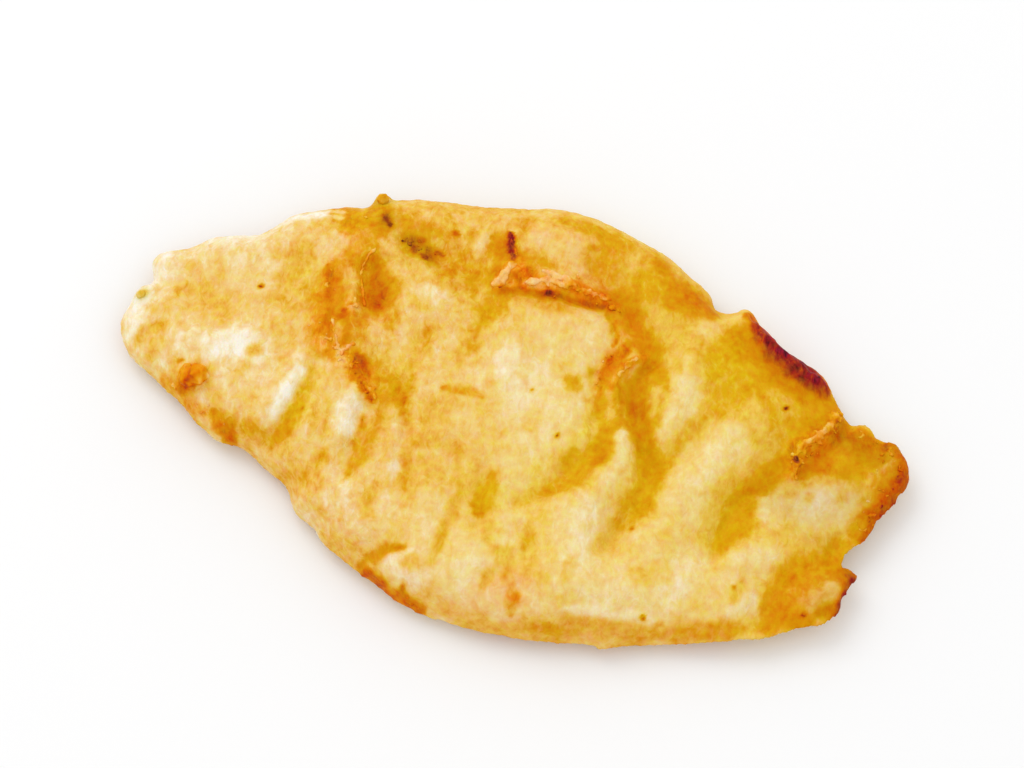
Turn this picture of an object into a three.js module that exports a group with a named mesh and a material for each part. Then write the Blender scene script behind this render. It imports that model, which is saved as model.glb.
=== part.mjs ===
// A fried halibut fillet lying on a table: one thin leaf of fish in a wrinkled egg batter crust.
// All sizes are in millimetres. +X runs from the blunt pale end to the thin frayed end, +Z is up,
// and the origin is on the table under the middle of the fillet.
import * as THREE from "three";

// Heights of the crust above the table, before its folds.
const BODY_HEIGHT = 12.4;
const BLUNT_END_HEIGHT = 8.6;
const FRAYED_END_HEIGHT = 6.6;
const BODY_START = -38; // the body has its full height between these two places along X
const BODY_END = 14;
const BLUNT_END = -84;
const FRAYED_END = 83;

// The rim, where the upper crust turns under.
const RIM_HEIGHT = 3.3;
const FRAYED_LIFT = 2.6; // the crisp end curls up off the table by this much
const BLUNT_LIFT = 0.9;
const LIFT_STARTS = 44; // distance from the middle at which the ends begin to rise
const SHOULDER = 10.5; // the crust falls to the rim over this distance
const FRAYED_SHOULDER = 14; // over this one at the frayed end
const BLUNT_SHOULDER = 7.5; // and over this one at the blunt end
const UNDER_SHOULDER = 7.5;
const EDGE_SHARPNESS = 1.25;
const EDGE_WAVE = 0.6; // the rim goes up and down by this much
const EDGE_WAVE_SIZE = 17;
const LEAST_THICKNESS = 1.3;
const FULLY_THICK = 2; // the fillet has at least that thickness from this far in
const FULL_RELIEF = 4; // and its folds have their full height from this far in

// The flat that the fillet rests on, an ellipse under its thick part.
const REST_CENTRE = [-6, -2];
const REST_HALF = [46, 24];
const REST_FADE = 1.8; // the underside is off the table from this many times the flat's size
const UNDER_RISE = 1.1; // it rises by about this much there
const UNDER_UNEVEN = 0.7;
const UNDER_LUMP_SIZE = 12;

// Fineness of the surface: the points along the rim, and the distance between those within it.
const RIM_COUNT = 250;
const UPPER_SPACING = 1.8;
const UNDER_SPACING = 3.6;
const BROW = 1.0; // the upper crust has a row of points this far in from the rim
const ROOM_BY_RIM = 0.6; // other points stay this part of their spacing away from the rows at the rim
const ROW_STEP = Math.sqrt(3) / 2;
const SCATTER = 0.12;
const FAR_OUT = 900;

// The edge of the fillet seen from above, anticlockwise from the blunt end.
const OUTLINE = [
  // blunt end, with a soft lobe
  [-80.2, -2.6], [-82.2, -5], [-82.8, -9.5], [-82.6, -14], [-80, -18.2], [-75.5, -21.1],
  // near side
  [-63.6, -25.5], [-56.2, -29.3], [-51.2, -30.5], [-46.5, -30.1], [-39.3, -32.6], [-34, -34.5],
  [-30.1, -39.1], [-25.3, -40.6], [-21.8, -43], [-15.5, -45], [-7.3, -47.2], [-2, -48.5],
  [8.4, -48.6], [19.2, -47.2], [30, -44.4], [37, -41.8], [39.8, -41.9], [42.3, -40],
  [57.1, -33.2], [66.3, -29], [75.1, -23.2], [80.6, -17.8],
  // frayed end, with a torn notch and a crisp tooth
  [80.8, -13], [81.3, -10], [82.3, -7.4], [80.1, -6.7], [78.4, -6], [78.9, -2.9], [80.6, -0.5],
  [81.8, 6.1], [84.1, 13.5], [84, 18.2], [80.8, 22.2], [78.3, 23.9], [75.4, 22.9], [73, 25],
  [68.4, 24.8], [64.9, 27.3],
  // burnt lip
  [60.2, 32.2], [50.3, 35.4], [43.3, 38.6], [40.6, 40.9], [38, 40.9], [36.5, 38.6], [33.4, 38],
  // far side
  [30.1, 41.5], [26.5, 43.2], [23.6, 44.6], [15.1, 46.9], [2.8, 48.7], [-4, 48.4], [-19.5, 42.8],
  [-35.1, 38.3],
  // a bead of batter that ran out of the far side
  [-41, 35.8], [-42.3, 36.4], [-43.6, 36.2], [-45, 35.2], [-45.2, 31.7],
  // far side of the blunt end
  [-50.2, 29.9], [-60, 22.8], [-63.3, 17], [-71.8, 12.8], [-76.9, 7.9], [-81.9, 4.1],
  [-82.6, 1.2],
];

// The folds, hills and hollows of the upper crust. Each follows a line on the fillet, is up to rise high
// (or deep, where it is below 0), and fades over half to either side.
const FOLDS = [
  // blunt end
  { rise: 1.3, half: 5.2, along: [[-70, -13], [-62, -13], [-54, -8]] },
  { rise: -1.1, half: 4.8, along: [[-73, -1], [-68, -4], [-61, -6]] },
  { rise: -0.9, half: 2.2, along: [[-73.5, -12], [-75.5, -17]] },
  { rise: -0.5, half: 2.2, along: [[-75, 4.5]] },
  { rise: 0.8, half: 4.0, along: [[-70, 8], [-60, 14]] },
  { rise: 0.9, half: 4.0, along: [[-55, 15], [-47, 18]] },
  { rise: -0.8, half: 3.6, along: [[-51, 9], [-46, 10]] },
  { rise: -0.6, half: 3.0, along: [[-47, 24], [-43, 22]] },
  { rise: 0.8, half: 1.4, along: [[-81, -7.5]] },
  // the ribs on the near side of the blunt half
  { rise: 1.7, half: 2.6, along: [[-43.5, -26], [-42.5, -19], [-41.5, -11]] },
  { rise: -2.0, half: 2.2, along: [[-40, -28], [-38.5, -22], [-38.3, -17], [-38.8, -11]] },
  { rise: 0.9, half: 3.2, along: [[-34, -12], [-33.5, -22]] },
  { rise: -0.7, half: 2.0, along: [[-30, -26], [-29.5, -34]] },
  { rise: 1.7, half: 2.4, along: [[-28.5, -13], [-28, -18], [-27, -23]] },
  { rise: -1.8, half: 2.0, along: [[-25, -15], [-23.8, -20], [-22.8, -26], [-22.5, -30]] },
  { rise: 0.9, half: 1.8, along: [[-19, -13], [-17, -19], [-15, -26]] },
  { rise: -0.6, half: 1.8, along: [[-18.5, -22], [-16, -30], [-15, -35]] },
  { rise: -0.6, half: 1.8, along: [[-15.5, -16], [-13.5, -22], [-11, -29]] },
  { rise: 0.6, half: 5.0, along: [[-23, -37], [-15, -38]] },
  { rise: -0.7, half: 3.0, along: [[-55, -28], [-50, -28]] },
  // the crisp seam that crosses the fillet, with a pit beside it
  { rise: 1.6, half: 2.4, along: [[-44, 12], [-42, 5], [-41, -1], [-37, -5], [-31, -8.5], [-25, -12]] },
  { rise: 1.3, half: 2.0, along: [[-40, 18], [-39, 12], [-38, 5], [-35.5, -1]] },
  { rise: -2.5, half: 3.0, along: [[-36, 15], [-33.5, 11], [-32, 7]] },
  { rise: 0.6, half: 2.4, along: [[-32, 1]] },
  { rise: -1.3, half: 3.6, along: [[-26, -5], [-20.5, -7.5], [-17.5, -13]] },
  { rise: 1.1, half: 5.0, along: [[-26, 12], [-22, 13]] },
  { rise: -0.6, half: 2.0, along: [[-20, 7], [-20.5, -2]] },
  // the far slope
  { rise: 0.8, half: 2.0, along: [[-36, 21], [-28, 20], [-21, 18]] },
  { rise: -1.1, half: 3.0, along: [[-38, 27], [-32, 25], [-26, 24]] },
  { rise: -1.0, half: 3.6, along: [[-19, 25], [-15, 21]] },
  { rise: 0.7, half: 1.8, along: [[-18.5, 32], [-18, 27]] },
  { rise: 1.3, half: 4.6, along: [[-7, 36], [-1, 36]] },
  { rise: -0.9, half: 2.4, along: [[7.5, 41], [7, 35], [8.5, 30]] },
  { rise: -0.8, half: 3.6, along: [[14, 35], [20, 34], [27, 36]] },
  // the broad plateau, under a crisp lip of batter
  { rise: 2.1, half: 2.1, along: [[-10.5, 22], [-9.5, 26.5], [-4, 26.5], [3, 28], [13, 28]] },
  { rise: -1.0, half: 2.2, along: [[-9.5, 18], [-10.5, 12]] },
  { rise: 1.7, half: 7.5, along: [[-3, 14], [4, 17], [9, 18]] },
  { rise: 0.8, half: 3.0, along: [[-2, 8], [-1, 3]] },
  { rise: 0.9, half: 9.0, along: [[-14, -4], [8, -6]] },
  // hollows that part the plateau from the frayed half
  { rise: -2.5, half: 3.4, along: [[13, 29], [18, 26.5], [22, 22.5], [26, 19]] },
  { rise: -2.8, half: 3.4, along: [[24, 16], [25.5, 8], [29.5, 2], [34, -4], [35, -9], [32.5, -22]] },
  { rise: -1.0, half: 1.8, along: [[17.5, 21], [18, 15], [17.5, 10]] },
  { rise: 1.2, half: 1.6, along: [[23, 18.5], [21, 15.5], [20.5, 11.5], [22.5, 6.5]] },
  { rise: -2.0, half: 2.8, along: [[18.5, 9], [20, 2], [22.5, -3], [18.5, -13], [16, -18], [11.5, -21.5]] },
  { rise: -1.3, half: 2.4, along: [[42, 9], [40, 3], [37, -2]] },
  { rise: -2.4, half: 3.2, along: [[59, 9], [56, 3], [53.5, -3], [52.5, -9], [52.5, -16]] },
  { rise: -1.6, half: 4.2, along: [[75, -3], [72.5, -8], [68.5, -13], [67.5, -19], [67, -24]] },
  // ridges of the frayed half
  { rise: 1.3, half: 3.4, along: [[27, -1], [28, -7], [27, -14]] },
  { rise: 1.2, half: 5.4, along: [[25, -18], [26, -31]] },
  { rise: 1.5, half: 3.4, along: [[33.5, 22], [34.5, 13], [34.5, 6]] },
  { rise: 2.0, half: 5.0, along: [[50, 15], [46, 4], [43, -6], [41, -18]] },
  { rise: 0.9, half: 6.0, along: [[44, 24], [55, 19]] },
  { rise: 1.3, half: 5.0, along: [[60, -1], [66, 4], [72, 6]] },
  { rise: 1.3, half: 4.6, along: [[56, -17], [59, -14], [63, -10.5]] },
  { rise: 0.8, half: 3.0, along: [[61.5, -24]] },
  { rise: 1.0, half: 3.4, along: [[74, -15], [77, -12]] },
  { rise: 0.9, half: 4.4, along: [[28, -35], [38, -31], [48, -26]] },
  // near side
  { rise: -1.3, half: 2.2, along: [[3.2, -18.5], [3.8, -23], [6, -28.5]] },
  { rise: -0.6, half: 1.8, along: [[-4.5, -15], [-2, -19.5]] },
  { rise: -0.7, half: 2.0, along: [[0, -27], [1.5, -33], [2.5, -40]] },
  { rise: -0.7, half: 2.0, along: [[16, -26], [18, -31], [15.5, -36], [13, -40]] },
  { rise: -1.0, half: 2.0, along: [[-12.5, -44], [-9.5, -41.5], [-6, -39.5]] },
  { rise: 0.9, half: 3.4, along: [[-6, -45], [-2.5, -44]] },
  { rise: 0.9, half: 4.4, along: [[7, -37], [7, -41]] },
  { rise: 0.6, half: 4.0, along: [[-5, -29], [-2.5, -33]] },
  // crisp lips and knobs of the crust
  { rise: 1.6, half: 1.7, along: [[60.5, 7], [60, 12.5], [62.5, 16.5], [65, 20], [65.5, 24]] },
  { rise: -1.5, half: 2.4, along: [[63, 8], [65, 13], [67, 18], [68, 23]] },
  { rise: 0.9, half: 3.0, along: [[72, 21.5]] },
  { rise: 1.1, half: 2.2, along: [[78.5, 20], [81, 17], [80.5, 11], [79, 4]] },
  { rise: 1.7, half: 2.4, along: [[39.5, 37], [44.5, 34.5], [51, 32], [59, 29.5]] },
  { rise: 1.0, half: 1.8, along: [[79.5, -8], [79, -16]] },
  { rise: 2.3, half: 2.3, along: [[-63.5, -22], [-60, -21.2]] },
  { rise: 1.6, half: 2.0, along: [[-43, 34]] },
];

// The lumps of the batter between the folds.
const LUMP_SIZE = 6.5;
const LUMP_RISE = 0.45;
const LUMP_SEED = 31;

const smooth = (t) => t * t * (3 - 2 * t);
const clamp01 = (t) => Math.min(1, Math.max(0, t));
const ramp = (low, high, v) => smooth(clamp01((v - low) / (high - low)));

// A repeatable number from -1 to 1 for each whole-numbered place.
function chance(i, j) {
  let n = Math.imul(i, 374761393) + Math.imul(j, 668265263) + Math.imul(LUMP_SEED, 2147483647);
  n = Math.imul(n ^ (n >>> 13), 1274126177);
  return (((n ^ (n >>> 16)) >>> 0) / 4294967295) * 2 - 1;
}

// Soft noise from -1 to 1, with hills about one unit across.
function lumps(x, y) {
  const i = Math.floor(x);
  const j = Math.floor(y);
  const u = smooth(x - i);
  const v = smooth(y - j);
  const low = chance(i, j) * (1 - u) + chance(i + 1, j) * u;
  const high = chance(i, j + 1) * (1 - u) + chance(i + 1, j + 1) * u;
  return low * (1 - v) + high * v;
}

// Distance from (x, y) to a line through points.
function distanceTo(x, y, points, closed = false) {
  if (points.length === 1) return Math.hypot(x - points[0][0], y - points[0][1]);
  let least = Infinity;
  const last = closed ? points.length : points.length - 1;
  for (let i = 0; i < last; i++) {
    const [ax, ay] = points[i];
    const [bx, by] = points[(i + 1) % points.length];
    const [dx, dy] = [bx - ax, by - ay];
    const t = clamp01(((x - ax) * dx + (y - ay) * dy) / (dx * dx + dy * dy));
    least = Math.min(least, Math.hypot(x - ax - t * dx, y - ay - t * dy));
  }
  return least;
}

// The smooth edge curve, and points on it close enough together to measure from.
const edge = new THREE.CatmullRomCurve3(
  OUTLINE.map(([x, y]) => new THREE.Vector3(x, y, 0)),
  true,
  "centripetal",
);
edge.arcLengthDivisions = 8 * RIM_COUNT;
const edgePoints = edge.getSpacedPoints(2 * RIM_COUNT).slice(0, -1).map((p) => [p.x, p.y]);
const edgeReach = Math.max(...edgePoints.map(([x, y]) => Math.hypot(x, y)));

// The round way in from the rim: 0 at the edge, with a steep start, and 1 from width inwards.
function shoulder(distance, width) {
  const t = clamp01(distance / width);
  return Math.sqrt(1 - (1 - t) ** 2) ** EDGE_SHARPNESS;
}

function rimHeight(x, y) {
  const frayed = FRAYED_LIFT * ramp(LIFT_STARTS, FRAYED_END, x);
  const blunt = BLUNT_LIFT * ramp(LIFT_STARTS, -BLUNT_END, -x);
  return RIM_HEIGHT + frayed + blunt + EDGE_WAVE * lumps(x / EDGE_WAVE_SIZE, y / EDGE_WAVE_SIZE);
}

function bodyHeight(x) {
  const toBlunt = ramp(BODY_START, BLUNT_END, x);
  const toFrayed = ramp(BODY_END, FRAYED_END, x);
  return (
    BODY_HEIGHT -
    (BODY_HEIGHT - BLUNT_END_HEIGHT) * toBlunt -
    (BODY_HEIGHT - FRAYED_END_HEIGHT) * toFrayed
  );
}

function underHeight(x, y, fromEdge) {
  const [cx, cy] = REST_CENTRE;
  const out = Math.hypot((x - cx) / REST_HALF[0], (y - cy) / REST_HALF[1]);
  const off = ramp(1, REST_FADE, out);
  const lift =
    FRAYED_LIFT * ramp(LIFT_STARTS, FRAYED_END, x) + BLUNT_LIFT * ramp(LIFT_STARTS, -BLUNT_END, -x);
  const uneven = UNDER_UNEVEN * lumps(x / UNDER_LUMP_SIZE, y / UNDER_LUMP_SIZE);
  const rise = off * UNDER_RISE * (1 + uneven);
  const base = rise + off * lift;
  const rim = rimHeight(x, y);
  return base + (rim - base) * (1 - shoulder(fromEdge, UNDER_SHOULDER));
}

function upperHeight(x, y, fromEdge) {
  const width =
    SHOULDER +
    (FRAYED_SHOULDER - SHOULDER) * ramp(BODY_END, FRAYED_END, x) +
    (BLUNT_SHOULDER - SHOULDER) * ramp(BODY_START, BLUNT_END, x);
  const rim = rimHeight(x, y);
  const inward = shoulder(fromEdge, width);
  let relief = LUMP_RISE * lumps(x / LUMP_SIZE, y / LUMP_SIZE);
  for (const { rise, half, along } of FOLDS) {
    relief += rise * Math.exp(-((distanceTo(x, y, along) / half) ** 2));
  }
  const top = rim + (bodyHeight(x) - rim) * inward + relief * shoulder(fromEdge, FULL_RELIEF);
  const least = underHeight(x, y, fromEdge) + LEAST_THICKNESS * shoulder(fromEdge, FULLY_THICK);
  return Math.max(top, least);
}

// Whether (x, y) is inside the edge.
function inside(x, y) {
  let crossings = 0;
  edgePoints.forEach(([ax, ay], i) => {
    const [bx, by] = edgePoints[(i + 1) % edgePoints.length];
    if (ay > y !== by > y && x < ax + ((y - ay) / (by - ay)) * (bx - ax)) crossings++;
  });
  return crossings % 2 === 1;
}

// A triangle between three numbered points, with the circle through them.
function circled(points, a, b, c) {
  const [[ax, ay], [bx, by], [cx, cy]] = [points[a], points[b], points[c]];
  const [ux, uy, vx, vy] = [bx - ax, by - ay, cx - ax, cy - ay];
  const [uu, vv, turn] = [ux * ux + uy * uy, vx * vx + vy * vy, 2 * (ux * vy - uy * vx)];
  const [x, y] = [(vy * uu - uy * vv) / turn, (ux * vv - vx * uu) / turn];
  return { corners: [a, b, c], x: ax + x, y: ay + y, reach: x * x + y * y };
}

// Even triangles over scattered points: no circle through the corners of one has a point inside.
function triangulate(scattered) {
  const n = scattered.length;
  const points = [...scattered, [-FAR_OUT, -FAR_OUT], [FAR_OUT, -FAR_OUT], [0, FAR_OUT]];
  let made = [circled(points, n, n + 1, n + 2)];
  for (let next = 0; next < n; next++) {
    const [x, y] = points[next];
    const kept = [];
    const open = new Map();
    for (const triangle of made) {
      if ((x - triangle.x) ** 2 + (y - triangle.y) ** 2 >= triangle.reach) {
        kept.push(triangle);
        continue;
      }
      const [a, b, c] = triangle.corners;
      for (const [from, to] of [[a, b], [b, c], [c, a]]) {
        if (!open.delete(`${to} ${from}`)) open.set(`${from} ${to}`, [from, to]);
      }
    }
    for (const [from, to] of open.values()) kept.push(circled(points, from, to, next));
    made = kept;
  }
  return made.map(({ corners }) => corners).filter((corners) => Math.max(...corners) < n);
}

// Places inside the edge, in staggered rows, a little scattered so that no facets line up.
function scatter(spacing, clear) {
  const places = [];
  const rows = Math.ceil(edgeReach / (spacing * ROW_STEP));
  const columns = Math.ceil(edgeReach / spacing);
  for (let row = -rows; row <= rows; row++) {
    for (let column = -columns; column <= columns; column++) {
      const x = spacing * (column + (row % 2 ? 0.5 : 0) + SCATTER * chance(row, column));
      const y = spacing * (row * ROW_STEP + SCATTER * chance(column, row));
      if (inside(x, y) && distanceTo(x, y, edgePoints, true) > clear) places.push([x, y]);
    }
  }
  return places;
}

// One skin of the fillet, from the rim inwards, as triangles that face up or down.
function skin(places, height, up) {
  const corners = places.map(([x, y]) => [x, y, height(x, y, distanceTo(x, y, edgePoints, true))]);
  const all = [...rim, ...corners];
  return triangulate(all)
    .filter((trio) => {
      const [x, y] = [0, 1].map((axis) => trio.reduce((sum, i) => sum + all[i][axis] / 3, 0));
      return inside(x, y);
    })
    .map(([a, b, c]) => (up ? [all[a], all[b], all[c]] : [all[a], all[c], all[b]]));
}

// The rim, and a second row of places close behind it that keeps the edge of the crust round.
const rim = [];
const brow = [];
for (let i = 0; i < RIM_COUNT; i++) {
  const { x, y } = edge.getPointAt(i / RIM_COUNT);
  rim.push([x, y, rimHeight(x, y)]);
  const along = edge.getTangentAt((i + 0.5) / RIM_COUNT);
  const beside = edge.getPointAt((i + 0.5) / RIM_COUNT);
  const place = [beside.x - along.y * BROW, beside.y + along.x * BROW];
  if (distanceTo(...place, edgePoints, true) > BROW - SCATTER) brow.push(place);
}

const triangles = [
  ...skin([...brow, ...scatter(UPPER_SPACING, BROW + ROOM_BY_RIM * UPPER_SPACING)], upperHeight, true),
  ...skin(scatter(UNDER_SPACING, ROOM_BY_RIM * UNDER_SPACING), underHeight, false),
];

const geometry = new THREE.BufferGeometry();
geometry.setAttribute("position", new THREE.Float32BufferAttribute(triangles.flat(2), 3));
geometry.computeBoundingBox();
const middle = geometry.boundingBox.getCenter(new THREE.Vector3());
geometry.translate(-middle.x, -middle.y, 0);
geometry.computeVertexNormals();

const crust = new THREE.MeshStandardMaterial({ color: 0xe6b650, roughness: 0.5, metalness: 0 });
const fillet = new THREE.Mesh(geometry, crust);
fillet.name = "fillet";

const part = new THREE.Group();
part.add(fillet);

export default part;
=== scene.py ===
import math

import bmesh
import bpy
import numpy as np
from mathutils import Matrix, Vector
from mathutils.bvhtree import BVHTree


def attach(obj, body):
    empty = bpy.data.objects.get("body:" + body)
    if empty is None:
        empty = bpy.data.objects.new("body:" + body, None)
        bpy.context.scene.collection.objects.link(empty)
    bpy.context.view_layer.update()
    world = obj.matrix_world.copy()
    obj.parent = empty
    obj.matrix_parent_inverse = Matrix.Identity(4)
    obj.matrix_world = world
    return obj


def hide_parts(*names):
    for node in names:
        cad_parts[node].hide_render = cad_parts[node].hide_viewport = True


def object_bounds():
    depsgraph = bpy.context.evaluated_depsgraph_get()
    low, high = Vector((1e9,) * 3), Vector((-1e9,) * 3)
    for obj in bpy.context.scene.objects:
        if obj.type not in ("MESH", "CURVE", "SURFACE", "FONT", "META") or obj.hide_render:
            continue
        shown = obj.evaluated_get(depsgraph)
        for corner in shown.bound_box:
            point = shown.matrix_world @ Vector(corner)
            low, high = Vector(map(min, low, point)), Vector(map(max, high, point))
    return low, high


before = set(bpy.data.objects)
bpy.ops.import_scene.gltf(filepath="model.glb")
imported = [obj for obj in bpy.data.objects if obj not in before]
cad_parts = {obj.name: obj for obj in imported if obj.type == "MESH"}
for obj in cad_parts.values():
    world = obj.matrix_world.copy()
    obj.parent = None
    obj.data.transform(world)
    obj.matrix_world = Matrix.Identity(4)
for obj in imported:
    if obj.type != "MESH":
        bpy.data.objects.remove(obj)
solid_low, solid_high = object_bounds()

MM = 0.001

# Camera. It looks down on the fillet from the near side, far enough off to keep its proportions, with
# the blunt end on the left.
LENS = 100.0
SENSOR_WIDTH = 36.0
NEAREST_SEEN = 0.01
CAMERA_AZIMUTH = math.radians(23)
CAMERA_ELEVATION = math.radians(65)
CAMERA_DISTANCE = 0.5989
CAMERA_AIM = Vector((-1.05, 5.5, 4.0)) * MM

camera_back = Vector((
    math.sin(CAMERA_AZIMUTH) * math.cos(CAMERA_ELEVATION),
    -math.cos(CAMERA_AZIMUTH) * math.cos(CAMERA_ELEVATION),
    math.sin(CAMERA_ELEVATION),
))
camera_data = bpy.data.cameras.new("camera")
camera_data.lens = LENS
camera_data.sensor_width = SENSOR_WIDTH
camera_data.clip_start = NEAREST_SEEN
camera = bpy.data.objects.new("camera", camera_data)
camera.location = CAMERA_AIM + camera_back * CAMERA_DISTANCE
camera.rotation_mode = "QUATERNION"
camera.rotation_quaternion = (-camera_back).to_track_quat("-Z", "Y")
bpy.context.collection.objects.link(camera)
bpy.context.scene.camera = camera

# The fillet's body. One thin leaf of fish, dipped in egg batter and laid in hot oil: the batter set
# around it as one closed skin. It is the solid's shape, merged and made fine enough for wrinkles.
SKIN_GRAIN = 0.58 * MM
SKIN_SMOOTHINGS = 8
SAME_PLACE = 0.001 * MM


def fine_skin(mesh, grain, smoothings):
    """The same closed shape as an even skin of small faces, with its steps rounded off."""
    holder = bpy.data.objects.new("holder", mesh)
    bpy.context.collection.objects.link(holder)
    remesh = holder.modifiers.new("remesh", "REMESH")
    remesh.mode = "VOXEL"
    remesh.voxel_size = grain
    smooth = holder.modifiers.new("smooth", "SMOOTH")
    smooth.iterations = smoothings
    shaped = holder.evaluated_get(bpy.context.evaluated_depsgraph_get())
    fine = bpy.data.meshes.new_from_object(shaped)
    bpy.data.objects.remove(holder)
    return fine


merged = bmesh.new()
merged.from_mesh(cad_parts["fillet"].data)
bmesh.ops.remove_doubles(merged, verts=merged.verts, dist=SAME_PLACE)
body = bpy.data.meshes.new("body")
merged.to_mesh(body)
merged.free()
for name in ("custom_normal", "sharp_edge", "sharp_face"):
    if name in body.attributes:
        body.attributes.remove(body.attributes[name])
body = fine_skin(body, SKIN_GRAIN, SKIN_SMOOTHINGS)

# Folds of the batter. It thickened into soft ridges where it ran together and sank into hollows over
# the fish's own flakes. The solid has the broad ones, and these sharpen them. Each has its rise in mm
# (below 0 for a hollow), its half width in mm and the line that it follows, seen from above.
FOLDS = [
    # hollows of the blunt half
    (-0.15, 3.0, [(-71, -2), (-66, -4), (-61, -6)]),
    (-0.2, 1.2, [(-73.5, -12), (-75.5, -16)]),
    (0.4, 2.0, [(-39, -12), (-38.5, -18), (-38.5, -22), (-40, -27)]),
    (0.3, 1.6, [(-24.5, -17), (-23.5, -21), (-22.5, -25), (-22.5, -29)]),
    (-0.15, 1.0, [(-20, -15), (-18, -22), (-16, -30), (-15, -34)]),
    (-0.15, 1.0, [(-15.5, -17), (-13.5, -22), (-12, -26), (-10.5, -29)]),
    (0.3, 1.7, [(-37, 17), (-35, 14), (-33, 10)]),
    (-0.2, 0.8, [(-43.5, 9), (-42, 3), (-40, -1), (-38, -5)]),
    (-0.2, 1.0, [(-33, -9.5), (-29, -12), (-25, -14.5)]),
    # creases under the lip over the plateau
    (-0.6, 0.9, [(-8, 20), (-3, 22), (2, 23.5), (7, 24.5), (13.5, 24.5)]),
    (-0.2, 0.8, [(17.5, 21), (18, 15), (17.5, 8)]),
    # hollows of the frayed half
    (-0.2, 1.9, [(13, 29), (18, 27), (20, 24), (22, 22)]),
    (-0.3, 1.6, [(24, 14), (25, 8), (28, 3), (31, 0)]),
    (-0.3, 1.8, [(31, 0), (34, -4), (35.5, -7)]),
    (-0.2, 1.5, [(34.5, -12), (32.5, -20), (32, -25)]),
    (-0.2, 1.2, [(42, 7), (40, 3), (37.5, -1)]),
    (-0.2, 1.6, [(19, 5), (20, 2), (22.5, -3), (20.5, -8)]),
    (-0.2, 1.6, [(20.5, -8), (18, -12), (18, -17), (14, -20), (11.5, -21.5)]),
    (-0.3, 1.5, [(58.5, 8), (56, 3), (53.5, -2), (52.5, -8), (51.5, -13), (53, -18)]),
    (-0.2, 2.4, [(75, -3), (73, -8), (68, -12), (67, -18), (67, -24)]),
    (-0.3, 1.2, [(3.5, -19), (3.8, -23), (5.5, -27), (6, -30)]),
    (-0.15, 1.0, [(0, -27), (1, -33), (2, -40)]),
    (-0.15, 1.0, [(16, -26), (17, -29), (18.5, -32), (16, -36), (13, -39)]),
    (-0.2, 0.9, [(-6, -39.5), (-8.5, -41), (-11, -43), (-13, -44.5)]),
    # sharp crests
    (0.2, 1.8, [(-62, -17), (-61, -13), (-55, -9), (-52, -6)]),
    (0.2, 1.4, [(-42, -25), (-41.5, -20), (-40.5, -12)]),
    (0.2, 1.6, [(-27.5, -13), (-27.5, -18), (-27, -22)]),
    (0.2, 1.0, [(-19, -14), (-17, -19), (-15, -25)]),
    (0.35, 0.8, [(-39, 12), (-37, 4), (-34, -1)]),
    (0.3, 0.7, [(-36, 21), (-28, 20), (-21, 18)]),
    (0.3, 1.0, [(-18.5, 32), (-18, 27)]),
    (0.35, 1.3, [(-9, 25), (-4, 26.5), (3, 27), (9, 27.5), (15, 27)]),
    (0.35, 0.8, [(23.4, 19.6), (21.6, 18), (20.4, 14.6), (20, 11)]),
    (0.2, 0.7, [(20.4, 11), (21.2, 7), (23, 3)]),
    (0.2, 1.6, [(55.2, -16.5), (58.4, -13.8), (62.7, -10.6)]),
    (0.2, 1.4, [(62.5, -21.5), (59.5, -27.4)]),
    (0.2, 1.2, [(48, -24), (50, -27)]),
    (0.2, 0.9, [(29, -39), (33, -37.5), (38, -36.5), (43, -34), (46, -33.5)]),
    (0.4, 1.2, [(42, 35.6), (46.5, 33), (50.5, 31.4), (54.2, 30.4), (60.5, 29.2)]),
    (0.5, 1.1, [(64.5, 24), (65, 20), (63.5, 17.5), (61, 15), (60, 12.5), (60.5, 10), (61, 7)]),
    (0.35, 1.3, [(80, 20), (82, 16), (81.5, 12), (80, 8)]),
    (0.3, 1.6, [(75, -14), (78, -11)]),
]
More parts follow.
